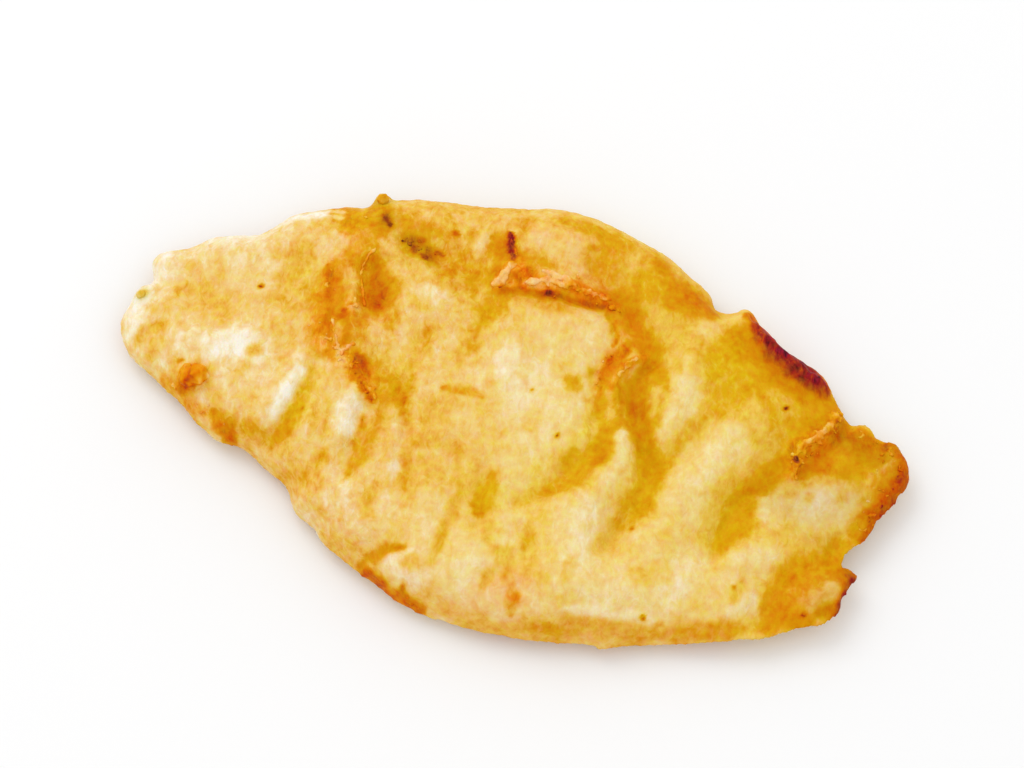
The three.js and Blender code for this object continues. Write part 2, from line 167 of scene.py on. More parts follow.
# Crisp places, where the batter tore, ran off or lifted clear of the oil and dried to a rough crumbly
# crust: the half width in mm, how crisp from 0 to 1, and the line.
CRISP = [
    # the seam across the blunt half
    (3.6, 0.4, [(-45, 15), (-43.5, 8), (-42.6, 3), (-41.6, -1), (-39, -5)]),
    (3.4, 0.6, [(-43, -2), (-38, -4), (-33, -7), (-29, -9), (-25, -12)]),
    (2.0, 0.6, [(-38.6, 7), (-37.6, 3)]),
    (1.6, 0.9, [(-41, -4.4), (-38.8, -6)]),
    (3.4, 0.3, [(-50, 27), (-47, 25), (-43, 27), (-41, 30)]),
    (3.0, 0.5, [(-46, 22), (-43, 18)]),
    (2.6, 0.3, [(-35, 26), (-31, 24.6), (-26, 23)]),
    # the lip over the plateau
    (2.2, 1.0, [(-11.5, 21), (-10.5, 25), (-9, 28), (-6, 26)]),
    (2.4, 1.0, [(-8, 23), (-4, 25.5), (0, 26.5), (3, 27)]),
    (2.0, 0.8, [(3, 26.5), (8, 27), (14, 26.5)]),
    (2.2, 0.6, [(17, 22), (17.5, 16), (17.5, 8)]),
    (1.2, 0.9, [(23.6, 20.3), (22, 18), (20.9, 15.7), (20.1, 12), (20, 8.9)]),
    (1.5, 0.8, [(19.6, 19), (17.6, 15), (16.8, 10.4), (16.6, 8)]),
    (0.8, 0.8, [(15, 23.4), (15.9, 21.4), (15.9, 18.6)]),
    (3.0, 0.3, [(14.6, 26.9), (18.8, 23.1), (24.3, 18.6)]),
    (0.8, 0.8, [(-13.5, 34), (-11.5, 31), (-9.8, 28)]),
    # the frayed end
    (2.6, 0.9, [(64.5, 24), (65, 20), (63.5, 17.5), (61, 15), (60, 12.5), (60.5, 10), (61, 7)]),
    (2.2, 0.9, [(40, 38), (43, 35.6), (46.5, 33), (50.5, 31.4), (54.2, 30.4), (60.5, 29.2)]),
    (2.0, 0.7, [(80, 20), (82, 16), (81.5, 12), (80, 8), (80, 4), (79.5, -1)]),
    (3.0, 0.5, [(69, 21.5), (75, 21)]),
    (1.2, 0.8, [(79, -8.5), (81, -8.5)]),
    (1.2, 0.8, [(79, -10), (79, -17)]),
    (2.4, 0.3, [(23, 37), (31, 35)]),
    # rims
    (3.0, 1.0, [(-63.5, -22.5), (-60, -21.2)]),
    (1.3, 0.7, [(-81, -7.5)]),
    (1.4, 0.5, [(-68, -23), (-57, -27), (-50, -29)]),
    (1.0, 0.6, [(-12, -45.5), (-5, -48), (2, -48.3)]),
    (1.2, 0.7, [(18, -41), (20.5, -40)]),
    (0.9, 0.4, [(-12, -4.5), (-9, -4), (-6, -3), (-3.5, -3.5)]),
]
# Wrinkles run across the fillet, a little aslant, as its flakes do.
FLAKES_ASLANT = math.radians(17)
ACROSS = np.array(Matrix.Rotation(FLAKES_ASLANT, 3, "Z"))
LATTICE = 40
ASTRAY = 0.5  # mm


def ramp(low, high, values):
    """0 below low, 1 above high and a soft rise between them."""
    t = np.clip((values - low) / (high - low), 0, 1)
    return t * t * (3 - 2 * t)


def uneven(places, size, seed):
    """Chance lumps from -1 to 1. Their size in mm is one number, or three: beside, along and upwards."""
    lattice = np.random.default_rng(seed).uniform(-1, 1, (LATTICE, LATTICE, LATTICE))
    scaled = places @ ACROSS / (np.array(size) * MM) + seed
    corner = np.floor(scaled).astype(int)
    part = ramp(0, 1, scaled - corner)
    total = np.zeros(len(places))
    for step in np.ndindex(2, 2, 2):
        share = np.prod(np.where(step, part, 1 - part), axis=1)
        total += share * lattice[tuple(((corner + step) % LATTICE).T)]
    return total


def points_of(mesh):
    """The places and the outward directions of a skin's points."""
    places = np.empty(3 * len(mesh.vertices), np.float32)
    mesh.vertices.foreach_get("co", places)
    outward = np.empty(3 * len(mesh.vertices), np.float32)
    mesh.vertex_normals.foreach_get("vector", outward)
    return places.reshape(-1, 3).astype(float), outward.reshape(-1, 3).astype(float)


def from_above(places):
    """Where each point lies on the fillet in mm, led astray a little so that no edge runs straight."""
    flat = places[:, :2] / MM
    for axis in (0, 1):
        flat[:, axis] += ASTRAY * uneven(places, 7, 11 + axis) + ASTRAY * uneven(places, 2.4, 13 + axis)
    return flat


def beside(flat, line, half):
    """How near each point is to a line or spot: 1 on it, fading over half to either side. A line thins
    out towards its ends."""
    if len(line) == 1:
        return np.exp(-((flat - line[0]) ** 2).sum(axis=1) / half ** 2)
    least = np.full(len(flat), np.inf)
    gone = np.zeros(len(flat))
    length = 0
    for start, end in zip(line, line[1:]):
        start, along = np.array(start, float), np.subtract(end, start).astype(float)
        t = np.clip((flat - start) @ along / (along @ along), 0, 1)
        gap = ((flat - start - t[:, None] * along) ** 2).sum(axis=1)
        gone = np.where(gap < least, length + t * math.sqrt(along @ along), gone)
        least = np.minimum(least, gap)
        length += math.sqrt(along @ along)
    from_end = np.minimum(gone, length - gone)
    return np.exp(-least / (half * (0.65 + 0.35 * ramp(0, length / 4, from_end))) ** 2)


def crisp_places(flat, ragged):
    """How crisp the crust is at each point, with ragged edges."""
    crispness = np.zeros(len(flat))
    for half, strength, line in CRISP:
        near = ramp(0.1, 0.9, beside(flat, line, half) + 0.2 * ragged)
        crispness = np.maximum(crispness, strength * near)
    return crispness


places, outward = points_of(body)
# The batter lies thicker in the hollows than the folds of the fish under it would show. A map of the
# fillet's upper side, in cells, tells how high it is all around each point and how far off the rim is.
MAP_CELL = 1.0  # mm
MAP_CORNER = [-100, -70]  # mm
MAP_CELLS = (200, 140)
RIM_STEPS = 14
MAP_SMOOTHINGS = 40
RIM_SMOOTHINGS = 2
FILLED = 0.3
MOST_PROUD = 1.5  # mm


def step_around(grid, widely):
    """The grid moved by one cell each way, also aslant where widely is true."""
    steps = [(0, 1), (0, -1), (1, 1), (1, -1)]
    moved = [np.roll(grid, step, axis) for axis, step in steps]
    if widely:
        moved += [np.roll(np.roll(grid, a, 0), b, 1) for a in (1, -1) for b in (1, -1)]
    return moved


cells = np.floor((places[:, :2] / MM - MAP_CORNER) / MAP_CELL).astype(int)
cells = tuple(cells.T)
top = np.zeros(MAP_CELLS)
np.maximum.at(top, cells, places[:, 2] / MM)
inside = top > 0
from_rim = np.zeros(top.shape)
core = inside
for number in range(RIM_STEPS):
    from_rim += core
    core = np.logical_and.reduce([core] + step_around(core, number % 2))
smoothed, weight = top, inside.astype(float)
for _ in range(MAP_SMOOTHINGS):
    smoothed = (smoothed + sum(step_around(smoothed, False))) / 5
    weight = (weight + sum(step_around(weight, False))) / 5
smoothed = smoothed / np.maximum(weight, 0.01)
rim_soft = from_rim
for _ in range(RIM_SMOOTHINGS):
    rim_soft = (rim_soft + sum(step_around(rim_soft, False))) / 5


def read(grid):
    """A grid's value at each point, blended between its cells."""
    spot = (places[:, :2] / MM - MAP_CORNER) / MAP_CELL - 0.5
    corner = np.floor(spot).astype(int)
    part = spot - corner
    total = np.zeros(len(places))
    for step in np.ndindex(2, 2):
        share = np.prod(np.where(step, part, 1 - part), axis=1)
        total += share * grid[tuple((corner + step).T)]
    return total


proud = np.clip(places[:, 2] / MM - read(smoothed), -MOST_PROUD, MOST_PROUD)
flat = from_above(places)
upper = ramp(-0.05, 0.45, outward[:, 2])
under = ramp(0.2, 0.8, -outward[:, 2])
ragged = 0.6 * uneven(places, 2.2, 8) + 0.6 * uneven(places, 1.1, 9)
crispness = crisp_places(flat, ragged) * (1 - under)
relief = -FILLED * proud * ramp(2, 7, read(rim_soft))
for rise, half, line in FOLDS:
    relief += rise * beside(flat, line, half)
lumps = uneven(places, 5.0, 1)
wrinkles = 1 - 2 * np.abs(uneven(places, (2.4, 5.0, 4.0), 2))
crinkles = 1 - 2 * np.abs(uneven(places, (1.5, 2.4, 2.4), 3))
crumb = uneven(places, 1.4, 4)
dimples = uneven(places, 4.2, 5)
shreds = 1 - 2 * np.abs(uneven(places, (1.6, 2.6, 2.0), 10))
# How far each unevenness stands up, in mm.
LUMPED = 0.22
WRINKLED = 0.10
CRINKLED = 0.09
CRUMBLY = 0.09
SHREDDED = 0.24
TORN = 0.18
DIMPLED_UNDER = 0.25
CRUMBLY_UNDER = 0.12
LIFTED_UNDER = 0.05
skin = LUMPED * lumps + WRINKLED * wrinkles + CRINKLED * crinkles + CRUMBLY * crumb
skin += crispness * (SHREDDED * shreds + TORN * ragged)
places += outward * ((relief * upper + skin * (1 - under)) * MM)[:, None]
hollowed = np.maximum(0, DIMPLED_UNDER * dimples + CRUMBLY_UNDER * crumb + LIFTED_UNDER)
places[:, 2] += under * MM * hollowed
# The highest places are pressed back a little, so that the crust and its crumbs keep the solid's height.
SKIN_TOP = solid_high[2] - 0.1 * MM
PRESSED = 0.9 * MM


def pressed_back(places, top, depth):
    """Presses the places nearest to a top, and above it, back below it."""
    above = np.maximum(places[:, 2] - (top - depth), 0)
    places[:, 2] += depth * np.tanh(above / depth) - above
    places[:, 2] = np.maximum(places[:, 2], 0)


pressed_back(places, SKIN_TOP, PRESSED)
body.vertices.foreach_set("co", places.ravel())
body.update()

# Browning of the skin. Batter stays cream where it stood clear of the oil, turns golden where oil lay,
# orange-brown on thin or rough places and dark at burnt lips. A few stains also paint a highlight or
# shade; they are marked below. Each stain has its half width in mm, its browning from 0, cream, to 1,
# burnt, and its line or spot. Later ones lie over earlier ones.
STAINS_AND_PAINTED_LIGHT = [
    # broad patches
    (8.0, 0.21, [(-80, -10), (-68, -14)]),
    (6.0, 0.24, [(-76, 5), (-66, 11)]),
    (5.6, 0.39, [(-72, -2), (-62, -3)]),
    (5.0, 0.28, [(-66, -20), (-50, -24)]),
    (4.0, 0.38, [(-52, -24), (-44, -24)]),
    (5.0, 0.33, [(-58, 14), (-52, 17)]),
    (5.0, 0.27, [(-52, 18), (-45, 18)]),
    (4.0, 0.18, [(-49, -12), (-48.6, -17.6)]),
    (4.5, 0.38, [(-33, -12), (-33, -25)]),
    (6.0, 0.47, [(-50, 8), (-46, 0)]),
    (4.4, 0.52, [(-25, -7), (-20.6, -10)]),
    (5.0, 0.24, [(-26, 12), (-22, 13)]),
    (7.0, 0.46, [(-36, 32), (-20, 36)]),
    (7.0, 0.52, [(-46, 27), (-36, 27)]),
    (6.5, 0.58, [(-22, 22), (-15, 21), (-10, 19)]),
    (6.0, 0.43, [(-9, 38), (2, 37)]),
    (7.0, 0.34, [(-4, 15), (4, 16), (11, 17)]),
    (6.0, 0.37, [(-14, 8), (-11, -2)]),
    (9.0, 0.43, [(-13, -18), (-2, -14)]),
    (5.0, 0.46, [(-11, -26), (-6, -26)]),
    (6.0, 0.26, [(3, 0), (12, -8)]),
    (6.0, 0.24, [(6, 5), (13, 1)]),
    (4.0, 0.34, [(7, -13), (8, -20)]),
    (7.0, 0.58, [(8, 38), (18, 36), (28, 34)]),
    (6.0, 0.48, [(24, 28), (30, 26)]),
    (7.0, 0.26, [(25, -14), (25, -32)]),
    (4.4, 0.27, [(35, 17), (35.6, 8)]),
    (9.0, 0.58, [(38, 24), (58, 19)]),
    (6.6, 0.67, [(40, 30), (48, 27), (57, 24)]),
    (7.0, 0.30, [(46, 8), (43, -5), (40, -16)]),
    (4.0, 0.30, [(59, -3), (62, 0)]),
    (4.4, 0.48, [(57, -6), (56, -12)]),
    (6.0, 0.31, [(63, 4), (74, 4)]),
    (3.0, 0.46, [(63, -6.4), (71, -4)]),
    (5.0, 0.30, [(58, -15), (64, -13)]),
    (5.0, 0.26, [(58, -20), (62, -26)]),
    (5.0, 0.66, [(68, 12), (72, 17)]),
    (5.0, 0.27, [(30, -33), (40, -30)]),
    (5.0, 0.26, [(45, -24), (52, -27)]),
    (5.0, 0.28, [(-5, -30), (-1, -33)]),
    (5.0, 0.26, [(6, -36), (8, -42)]),
    (4.0, 0.18, [(-7, -44), (-2, -44)]),
    (5.0, 0.30, [(-22, -36), (-15, -39)]),
    # the blunt end
    (2.6, 0.08, [(-81, 4), (-81.4, -2), (-81.4, -9), (-79.4, -16)]),
    (2.6, 0.10, [(-71, 13.4), (-62, 19.4), (-53, 25)]),
    (4.0, 0.15, [(-72, 11), (-64, 14.6)]),
    (3.0, 0.18, [(-63, 7), (-56, 8)]),
    (1.8, 0.27, [(-52, -30), (-36, -36), (-22, -41)]),
    (1.2, 0.52, [(-81, -7.5)]),
    (2.2, 0.50, [(-76.5, -17.5), (-74.5, -14), (-72.5, -12)]),
    (1.8, 0.36, [(-75, 3.6), (-73, 0)]),
    (3.4, 0.43, [(-71, -2.4), (-67, -4.6), (-61, -6)]),
    (2.6, 0.30, [(-69, 3), (-64, 4), (-56, 4)]),
    (1.8, 0.34, [(-78, -10), (-73, -10), (-68, -12)]),
    (2.0, 0.30, [(-71, -13), (-69, -17)]),
    (2.0, 0.46, [(-73, -20), (-72, -16)]),
    (2.0, 0.48, [(-66.5, -19), (-65, -22)]),
    (2.0, 0.44, [(-59, -22), (-55, -23.5)]),
    # Pale ridge: partly pale batter, partly a painted highlight.
    (3.4, 0.03, [(-60, -14), (-58.6, -12), (-56.4, -11), (-55, -10)]),
    (3.0, 0.38, [(-52, -5.6), (-48, -2)]),
    (1.4, 0.52, [(-52, -12)]),
    (2.2, 0.60, [(-50.6, 12), (-50, 7)]),
    (1.6, 0.24, [(-49.5, 16.5), (-45, 18.5)]),
    (2.4, 0.44, [(-53, 19), (-50, 22)]),
    (0.45, 0.94, [(-57.5, 3)]),
    (1.6, 0.55, [(-68, -23), (-57, -27)]),
    (1.8, 0.68, [(-54, -27), (-49, -29.5)]),
    (1.8, 0.56, [(-46.6, -27), (-42, -28)]),
    (3.2, 0.74, [(-63, -22), (-60.4, -21)]),
    (1.2, 0.82, [(-63, -24)]),
    (0.8, 0.80, [(-65.5, -19.5)]),
    # ribs on the near side
    (1.5, 0.36, [(-45, -13), (-45, -19.6)]),
    # Pale ridge: partly pale batter, partly a painted highlight.
    (2.0, 0.06, [(-42, -23), (-41.6, -19), (-41, -13)]),
    (2.2, 0.61, [(-38.6, -12), (-38.2, -18), (-38.4, -22), (-39.8, -27)]),
    (1.6, 0.68, [(-38.6, -25), (-39.6, -28.6)]),
    (2.8, 0.13, [(-28, -13), (-28, -18), (-27.4, -22)]),
    (3.0, 0.46, [(-38, -30), (-33, -32), (-28, -34)]),
    (1.6, 0.52, [(-34.6, -17), (-34.4, -23)]),
    (1.8, 0.64, [(-24.5, -17), (-23.5, -21), (-22.5, -25), (-22.5, -29)]),
    (1.8, 0.50, [(-29.5, -27), (-29, -33)]),
    (1.6, 0.56, [(-21.6, -13), (-21.4, -20), (-20.8, -26)]),
    (2.2, 0.36, [(-26.6, -24), (-26, -28)]),
    (2.0, 0.28, [(-19, -27), (-16, -28)]),
    (1.6, 0.36, [(-18.6, -13), (-17.6, -20), (-15.4, -27)]),
    (1.6, 0.53, [(-16.6, -30), (-15.6, -37)]),
    (1.2, 0.54, [(-15, -15), (-13.5, -20), (-12, -25), (-10.5, -29)]),
    (1.2, 0.20, [(-22, -32), (-21.5, -34)]),
    (1.2, 0.20, [(-14.5, -24), (-14, -27)]),
    # the seam across the blunt half
    (4.0, 0.50, [(-53, 13), (-51, 5)]),
    (4.2, 0.60, [(-44, 12), (-41.4, 4), (-38.6, -2)]),
    (1.6, 0.34, [(-47.4, 18), (-45, 16.6)]),
    (2.4, 0.62, [(-43, 17), (-40.4, 14)]),
    (2.6, 0.60, [(-43, -2), (-40, -5), (-36, -7)]),
    (2.6, 0.69, [(-43, 9), (-41.4, 5), (-40, 0), (-38.4, -4)]),
    (0.8, 0.76, [(-46.2, 12), (-44.6, 9.6)]),
    (0.8, 0.77, [(-43.6, 7.6), (-42.4, 4.6)]),
    (0.9, 0.78, [(-41.2, 1.6), (-40, -1.6)]),
    (0.9, 0.76, [(-42, -3.4), (-40.4, -4.6)]),
    (2.6, 0.75, [(-38, 2), (-36.4, -1.4), (-34.6, -4.4)]),
    (1.3, 0.50, [(-38.4, 8.6), (-37.4, 6)]),
    (2.0, 0.57, [(-29, 8), (-28, 4)]),
    (0.7, 0.86, [(-38.3, 3.6)]),
    (0.5, 0.84, [(-38, 5.4)]),
    (3.2, 0.62, [(-33, 13.6), (-31.6, 7)]),
    (2.8, 0.76, [(-38, 18), (-35.6, 15), (-33.8, 10.6), (-33.4, 7)]),
    (2.4, 0.81, [(-34.6, 12.8), (-33.4, 9)]),
    (0.9, 0.70, [(-38.6, 20), (-39.4, 17), (-39.1, 13.2), (-37.1, 10), (-35.2, 6.6)]),
    (0.7, 0.58, [(-39.8, 0.8), (-37, -3.4), (-35.4, -5.8)]),
    (0.7, 0.54, [(-38.2, 0.6), (-36, -3)]),
    (1.3, 0.48, [(-41, -4.4), (-38.8, -6)]),
    (0.9, 0.42, [(-35, -6.8), (-34, -3.6)]),
    (3.6, 0.65, [(-25.4, -9), (-21, -9.6)]),
    (2.4, 0.58, [(-35, 3), (-32, -0.6)]),
    (3.0, 0.76, [(-31.4, -5.4), (-29.8, -7.4), (-27, -10.4)]),
    (1.7, 0.79, [(-31, -5.4), (-29.4, -8.4)]),
    (1.0, 0.88, [(-28, -11), (-26.4, -11.6)]),
    (0.9, 0.92, [(-25.4, -12), (-24.4, -12.8)]),
    (0.7, 0.46, [(-31, -3.4), (-28.4, -1.9), (-25, -1)]),
    (1.8, 0.32, [(-25, 5), (-25, 1)]),
    (2.2, 0.64, [(-26.6, -7), (-24.4, -11)]),
    (2.4, 0.64, [(-21, -8), (-19, -10)]),
    (1.6, 0.60, [(-18, -12), (-16, -15)]),
    (2.2, 0.52, [(-21, 5), (-20.4, -4)]),
    (3.0, 0.22, [(-26, 14), (-22, 15.4)]),
    (1.8, 0.44, [(-28, 11.4), (-22.6, 10)]),
    # the far slope
    (3.2, 0.62, [(-47, 22), (-42, 25)]),
    (2.6, 0.58, [(-43, 20), (-36, 21.5)]),
    (3.0, 0.66, [(-48, 26), (-46, 24.4), (-43, 27), (-41, 30)]),
    (0.9, 0.66, [(-51.6, 27), (-48, 26.8)]),
    (0.8, 0.66, [(-51.8, 25), (-48, 25)]),
    (0.8, 0.64, [(-50.6, 23.2), (-47, 23.8)]),
    (0.7, 0.30, [(-51.6, 26), (-49, 25.9)]),
    (0.7, 0.30, [(-51, 24), (-48.6, 24.3)]),
    (1.6, 0.74, [(-40, 27), (-39, 24)]),
    (1.1, 0.91, [(-39.6, 28.2)]),
    (0.9, 0.92, [(-38.4, 26.8)]),
    (3.0, 0.51, [(-36, 22), (-28, 20.6), (-22, 17)]),
    (1.2, 0.42, [(-38, 22), (-30, 19.6), (-25, 17.6)]),
    (2.7, 0.76, [(-34, 25.4), (-30, 24.4), (-27, 22.6)]),
    (2.0, 0.66, [(-36, 28), (-28, 28.4)]),
    (1.6, 0.60, [(-21, 30.4), (-20, 29)]),
    (2.0, 0.67, [(-42.7, 32.6)]),
    (1.0, 0.86, [(-34, 24.4)]),
    (1.2, 0.86, [(-32.4, 25.8)]),
    (1.0, 0.87, [(-31.6, 23.2), (-30.6, 22.4)]),
    (0.8, 0.85, [(-29, 22.4), (-27.4, 21.6)]),
    (1.2, 0.86, [(-30.4, 25.8)]),
    (0.8, 0.86, [(-28.6, 24.2)]),
    (0.8, 0.86, [(-26.4, 24.4), (-25, 24.2)]),
    (0.5, 0.84, [(-24.4, 29.4), (-23, 29)]),
    (3.4, 0.59, [(-21, 25), (-17, 23), (-14, 21)]),
    (2.6, 0.66, [(-11.6, 18.4), (-9, 19)]),
    (1.8, 0.62, [(-11, 15), (-9.6, 12.2)]),
    (2.2, 0.62, [(-10, 17.6), (-8, 16)]),
    (2.6, 0.53, [(-11.6, 10.4), (-10.6, 7)]),
    (1.6, 0.50, [(-14, 16.6)]),
    (2.2, 0.60, [(-10, 18.4), (-8, 17.6)]),
    (2.6, 0.43, [(-5, 18), (-2, 17.4)]),
    (1.8, 0.38, [(-6, 8), (-6, 4.6)]),
    (2.2, 0.56, [(-7, 20), (-2, 20.6), (5, 21.6)]),
    (2.0, 0.52, [(-11.5, 7), (-12, 4)]),
    (1.2, 0.28, [(-18.5, 32), (-18, 27)]),
    (0.7, 0.80, [(-17, 32)]),
    (0.7, 0.80, [(-24, 29)]),
    (2.6, 0.70, [(-15.4, 32), (-12, 28)]),
    (1.3, 0.72, [(-13.8, 23), (-13.2, 20.6)]),
    (1.0, 0.93, [(-13.6, 34.2), (-11.8, 31.4), (-9.9, 28.6)]),
    (2.2, 0.78, [(-13, 24), (-12, 28), (-9, 29.6)]),
    (3.6, 0.34, [(-8, 34.6), (0, 36)]),
    (2.4, 0.60, [(-4, 43), (2, 42.5), (9, 42)]),
    (1.8, 0.64, [(7, 38), (7.5, 32), (8.5, 29)]),
    (3.8, 0.58, [(15, 35), (20, 33)]),
    (3.4, 0.70, [(22, 37), (27, 36), (32, 34.5)]),
    (2.4, 0.73, [(23, 35.6), (23.6, 32)]),
    (2.0, 0.64, [(6, 32.6), (4, 37)]),
    (1.8, 0.54, [(-14, 37), (-9, 40)]),
    (2.2, 0.42, [(12, 38.4), (15, 37.6)]),
    (1.6, 0.70, [(18, 40.5), (20, 39)]),
    (0.9, 0.42, [(3.5, 32), (4, 29.6)]),
    # the plateau under its crisp lip
    (2.6, 0.64, [(-12, 27), (-8, 29.4), (-3, 29.6)]),
    (2.4, 0.60, [(-9, 24), (-5, 26), (0, 27), (6, 27.5)]),
    (2.2, 0.61, [(6, 27.4), (14, 27.5)]),
    (2.2, 0.56, [(4, 29), (7, 30)]),
    (1.4, 0.44, [(-11.6, 21.2), (-10.8, 24.2), (-10, 26.6)]),
    # Painted shadow between the flakes of the lip.
    (1.2, 0.80, [(-7.4, 26.2), (-7, 24)]),
    (1.6, 0.76, [(-11.4, 28.6), (-10, 30)]),
    (0.8, 0.90, [(-12.4, 32), (-11.4, 30), (-10.2, 28.4)]),
    (1.4, 0.72, [(-6.6, 27.6), (-5, 26.6)]),
    (1.1, 0.44, [(-5.4, 24.5), (-3.6, 24.8)]),
    (1.3, 0.44, [(-3.9, 28.2), (0.3, 28.2), (2.4, 28)]),
    (0.9, 0.36, [(3.3, 32), (3.4, 30)]),
    (1.3, 0.48, [(-3, 26), (1.8, 26.6)]),
    # A brown crease under the lip: partly browned batter, partly painted shade under the lip.
    (1.2, 0.82, [(-10, 20.4), (-6.4, 22), (-1.7, 23.4), (4, 24.6), (9, 25.2), (13, 26)]),
    (0.8, 0.96, [(-1.1, 23.9)]),
    (1.8, 0.70, [(3, 26.6), (12, 27.4)]),
    (1.8, 0.38, [(8, 20), (11.6, 20.6)]),
    (2.8, 0.30, [(11, 17.6), (12, 12.6)]),
    (2.2, 0.28, [(-9, 0.6), (-3, -1)]),
    (2.2, 0.38, [(-7, 13), (-6.6, 6)]),
    (1.2, 0.66, [(12.6, 25), (14.8, 23), (15.6, 20)]),
    (1.0, 0.40, [(15.5, 22), (16, 16), (15.5, 12)]),
    (2.0, 0.60, [(10.6, 7), (13, 6.4)]),
    (3.0, 0.14, [(-2, 9), (-2, 4)]),
    (1.8, 0.50, [(-13, 3), (-10, 5)]),
    (0.5, 0.80, [(5, 2)]),
    (0.5, 0.96, [(14, -5.4)]),
    (1.0, 0.58, [(-12, -4.5), (-9, -4), (-6, -3), (-3.5, -3.5)]),
    # hollows that part the plateau from the frayed half
    (3.0, 0.74, [(12.6, 29), (16.5, 26.6), (19.6, 23.6)]),
    (3.0, 0.73, [(18.8, 24), (21.6, 22), (25.4, 19.6), (28.4, 15.6)]),
    (2.2, 0.69, [(18.6, 21), (18.4, 15), (17.6, 9)]),
    (1.8, 0.66, [(14.6, 9.8), (19, 9.4)]),
    (2.0, 0.50, [(28, 20.6), (31, 18.6)]),
    (1.4, 0.60, [(30, 14), (31.6, 6)]),
    (2.6, 0.26, [(34, 14.6), (34.8, 7)]),
    (2.6, 0.50, [(51, 22), (57, 21)]),
    (1.6, 0.55, [(36.6, -1), (37.4, 4), (38.6, 9), (40.4, 15)]),
    (2.8, 0.75, [(24, 16.4), (24.8, 11), (27, 6), (30.6, 1.6)]),
    (4.2, 0.73, [(32, -1), (34.2, -4), (34.6, -9)]),
    (3.6, 0.67, [(34.4, -9), (34, -15)]),
    (3.0, 0.53, [(32, -17), (30, -24)]),
    (2.6, 0.56, [(46, 14.6), (39, 13)]),
    (2.6, 0.48, [(49.4, 2), (49, -6), (49.4, -13)]),
    (3.0, 0.27, [(47, -18), (52, -22)]),
    (3.0, 0.20, [(26, -17), (27, -25)]),
    (1.8, 0.62, [(18.2, 8), (19.8, 3), (22.4, 0)]),
    (1.4, 0.66, [(26.2, 2.6), (24.6, 0.4)]),
    (2.9, 0.71, [(23.4, 0), (23, -5), (21, -9)]),
    (4.4, 0.66, [(21, -8.4), (19, -13.6)]),
    (2.4, 0.42, [(17, -20), (16.4, -25)]),
    (2.4, 0.50, [(15.6, -17.4), (12, -20.6)]),
    (2.6, 0.62, [(18.6, -14), (15.8, -17)]),
    (1.1, 0.66, [(22, 18.4), (21.2, 17), (20.4, 14.6), (20, 12)]),
    (1.3, 0.67, [(20, 12), (21.1, 9.6), (23, 6), (26.4, 0.6)]),
    (0.6, 0.56, [(20, 12), (21.1, 9.6), (22.4, 7.4), (24.1, 4.4)]),
    (1.1, 0.73, [(19.6, 19), (17.8, 15), (17.4, 10.4), (17.6, 8.6)]),
    (0.7, 0.50, [(16.4, 13.6), (15.8, 11), (15.5, 8)]),
    (0.6, 0.71, [(15, 23.4), (15.9, 21.4), (15.9, 18.6)]),
    (0.5, 0.74, [(20.9, 11), (21.6, 9.2), (22.9, 7.2)]),
    (2.4, 0.69, [(18, -7), (19, -9)]),
    (1.3, 0.24, [(26, 1), (27, -4), (27.2, -7)]),
    (1.8, 0.36, [(6.6, -4.4), (8, -6)]),
    (2.6, 0.34, [(-8, -11), (-4, -11)]),
    (2.4, 0.62, [(33.6, -14), (33, -18)]),
    (2.4, 0.40, [(42, -17), (44, -19)]),
    (0.5, 0.88, [(35.5, -18)]),
    # ridges and hollows of the frayed half
    (3.2, 0.71, [(59.6, 11), (56.6, 6), (53.6, 1)]),
    (3.0, 0.57, [(57, 15), (53, 11)]),
    (4.2, 0.69, [(53, -1), (53.6, -6), (53.6, -12.6)]),
    (2.2, 0.27, [(58.6, -1), (60.6, -4)]),
    (4.0, 0.71, [(60, 13), (63, 20), (61, 26)]),
    (2.2, 0.46, [(48, 18), (51, 12)]),
    (2.2, 0.52, [(59.6, -19.6), (60, -23.6)]),
    (2.2, 0.44, [(44, -22), (43.4, -26)]),
    (3.4, 0.54, [(63, 9), (70, 7)]),
    (1.8, 0.50, [(62, 3), (62.5, 7)]),
    (3.0, 0.46, [(67, 8), (71, 6)]),
    (2.4, 0.74, [(57, 5), (59.5, 11)]),
    (4.0, 0.68, [(75, -3), (74, -8), (70, -12), (68.5, -18), (68, -24)]),
    (4.0, 0.66, [(69.6, -11.6), (77, -9)]),
    (3.4, 0.70, [(70, -22), (75, -20.6)]),
    (1.6, 0.55, [(70.4, -16.5), (74, -17)]),
    (2.6, 0.26, [(57.6, -16), (60.4, -13.4), (63.4, -10.6)]),
    (1.8, 0.24, [(62.8, -20.6), (62.2, -23.4)]),
    (1.2, 0.18, [(48, -24), (50, -27)]),
    (2.2, 0.24, [(66, 3), (70, 7)]),
    (0.5, 1.00, [(54.7, 20.3)]),
    (0.9, 0.48, [(66, 3.5)]),
    (0.6, 0.66, [(57, 0.5)]),
    (0.6, 0.82, [(58.7, -21)]),
    (0.6, 0.92, [(73.9, -19.5)]),
    # the near side
    (2.4, 0.30, [(11, -13.6), (10.6, -18)]),
    (2.6, 0.32, [(29, -36), (24, -40)]),
    (2.6, 0.32, [(10, -44), (20, -44)]),
    (3.0, 0.44, [(6, -30), (10, -30)]),
    (3.0, 0.42, [(19, -27), (18, -37)]),
    (2.2, 0.50, [(-1.6, -22), (3, -22)]),
    (2.0, 0.67, [(5, -18.4), (4.8, -23), (5, -27)]),
    (1.6, 0.55, [(0.2, -25), (0.2, -30), (0.6, -38.6)]),
    (1.2, 0.52, [(16, -26), (17, -29), (18.5, -32)]),
    (2.2, 0.38, [(19, -30), (23, -31)]),
    (1.6, 0.44, [(26.8, -30), (27, -34)]),
    (1.8, 0.44, [(39, -27.4), (42, -27.6)]),
    (1.6, 0.42, [(54, -27)]),
    (1.8, 0.58, [(64.6, -26)]),
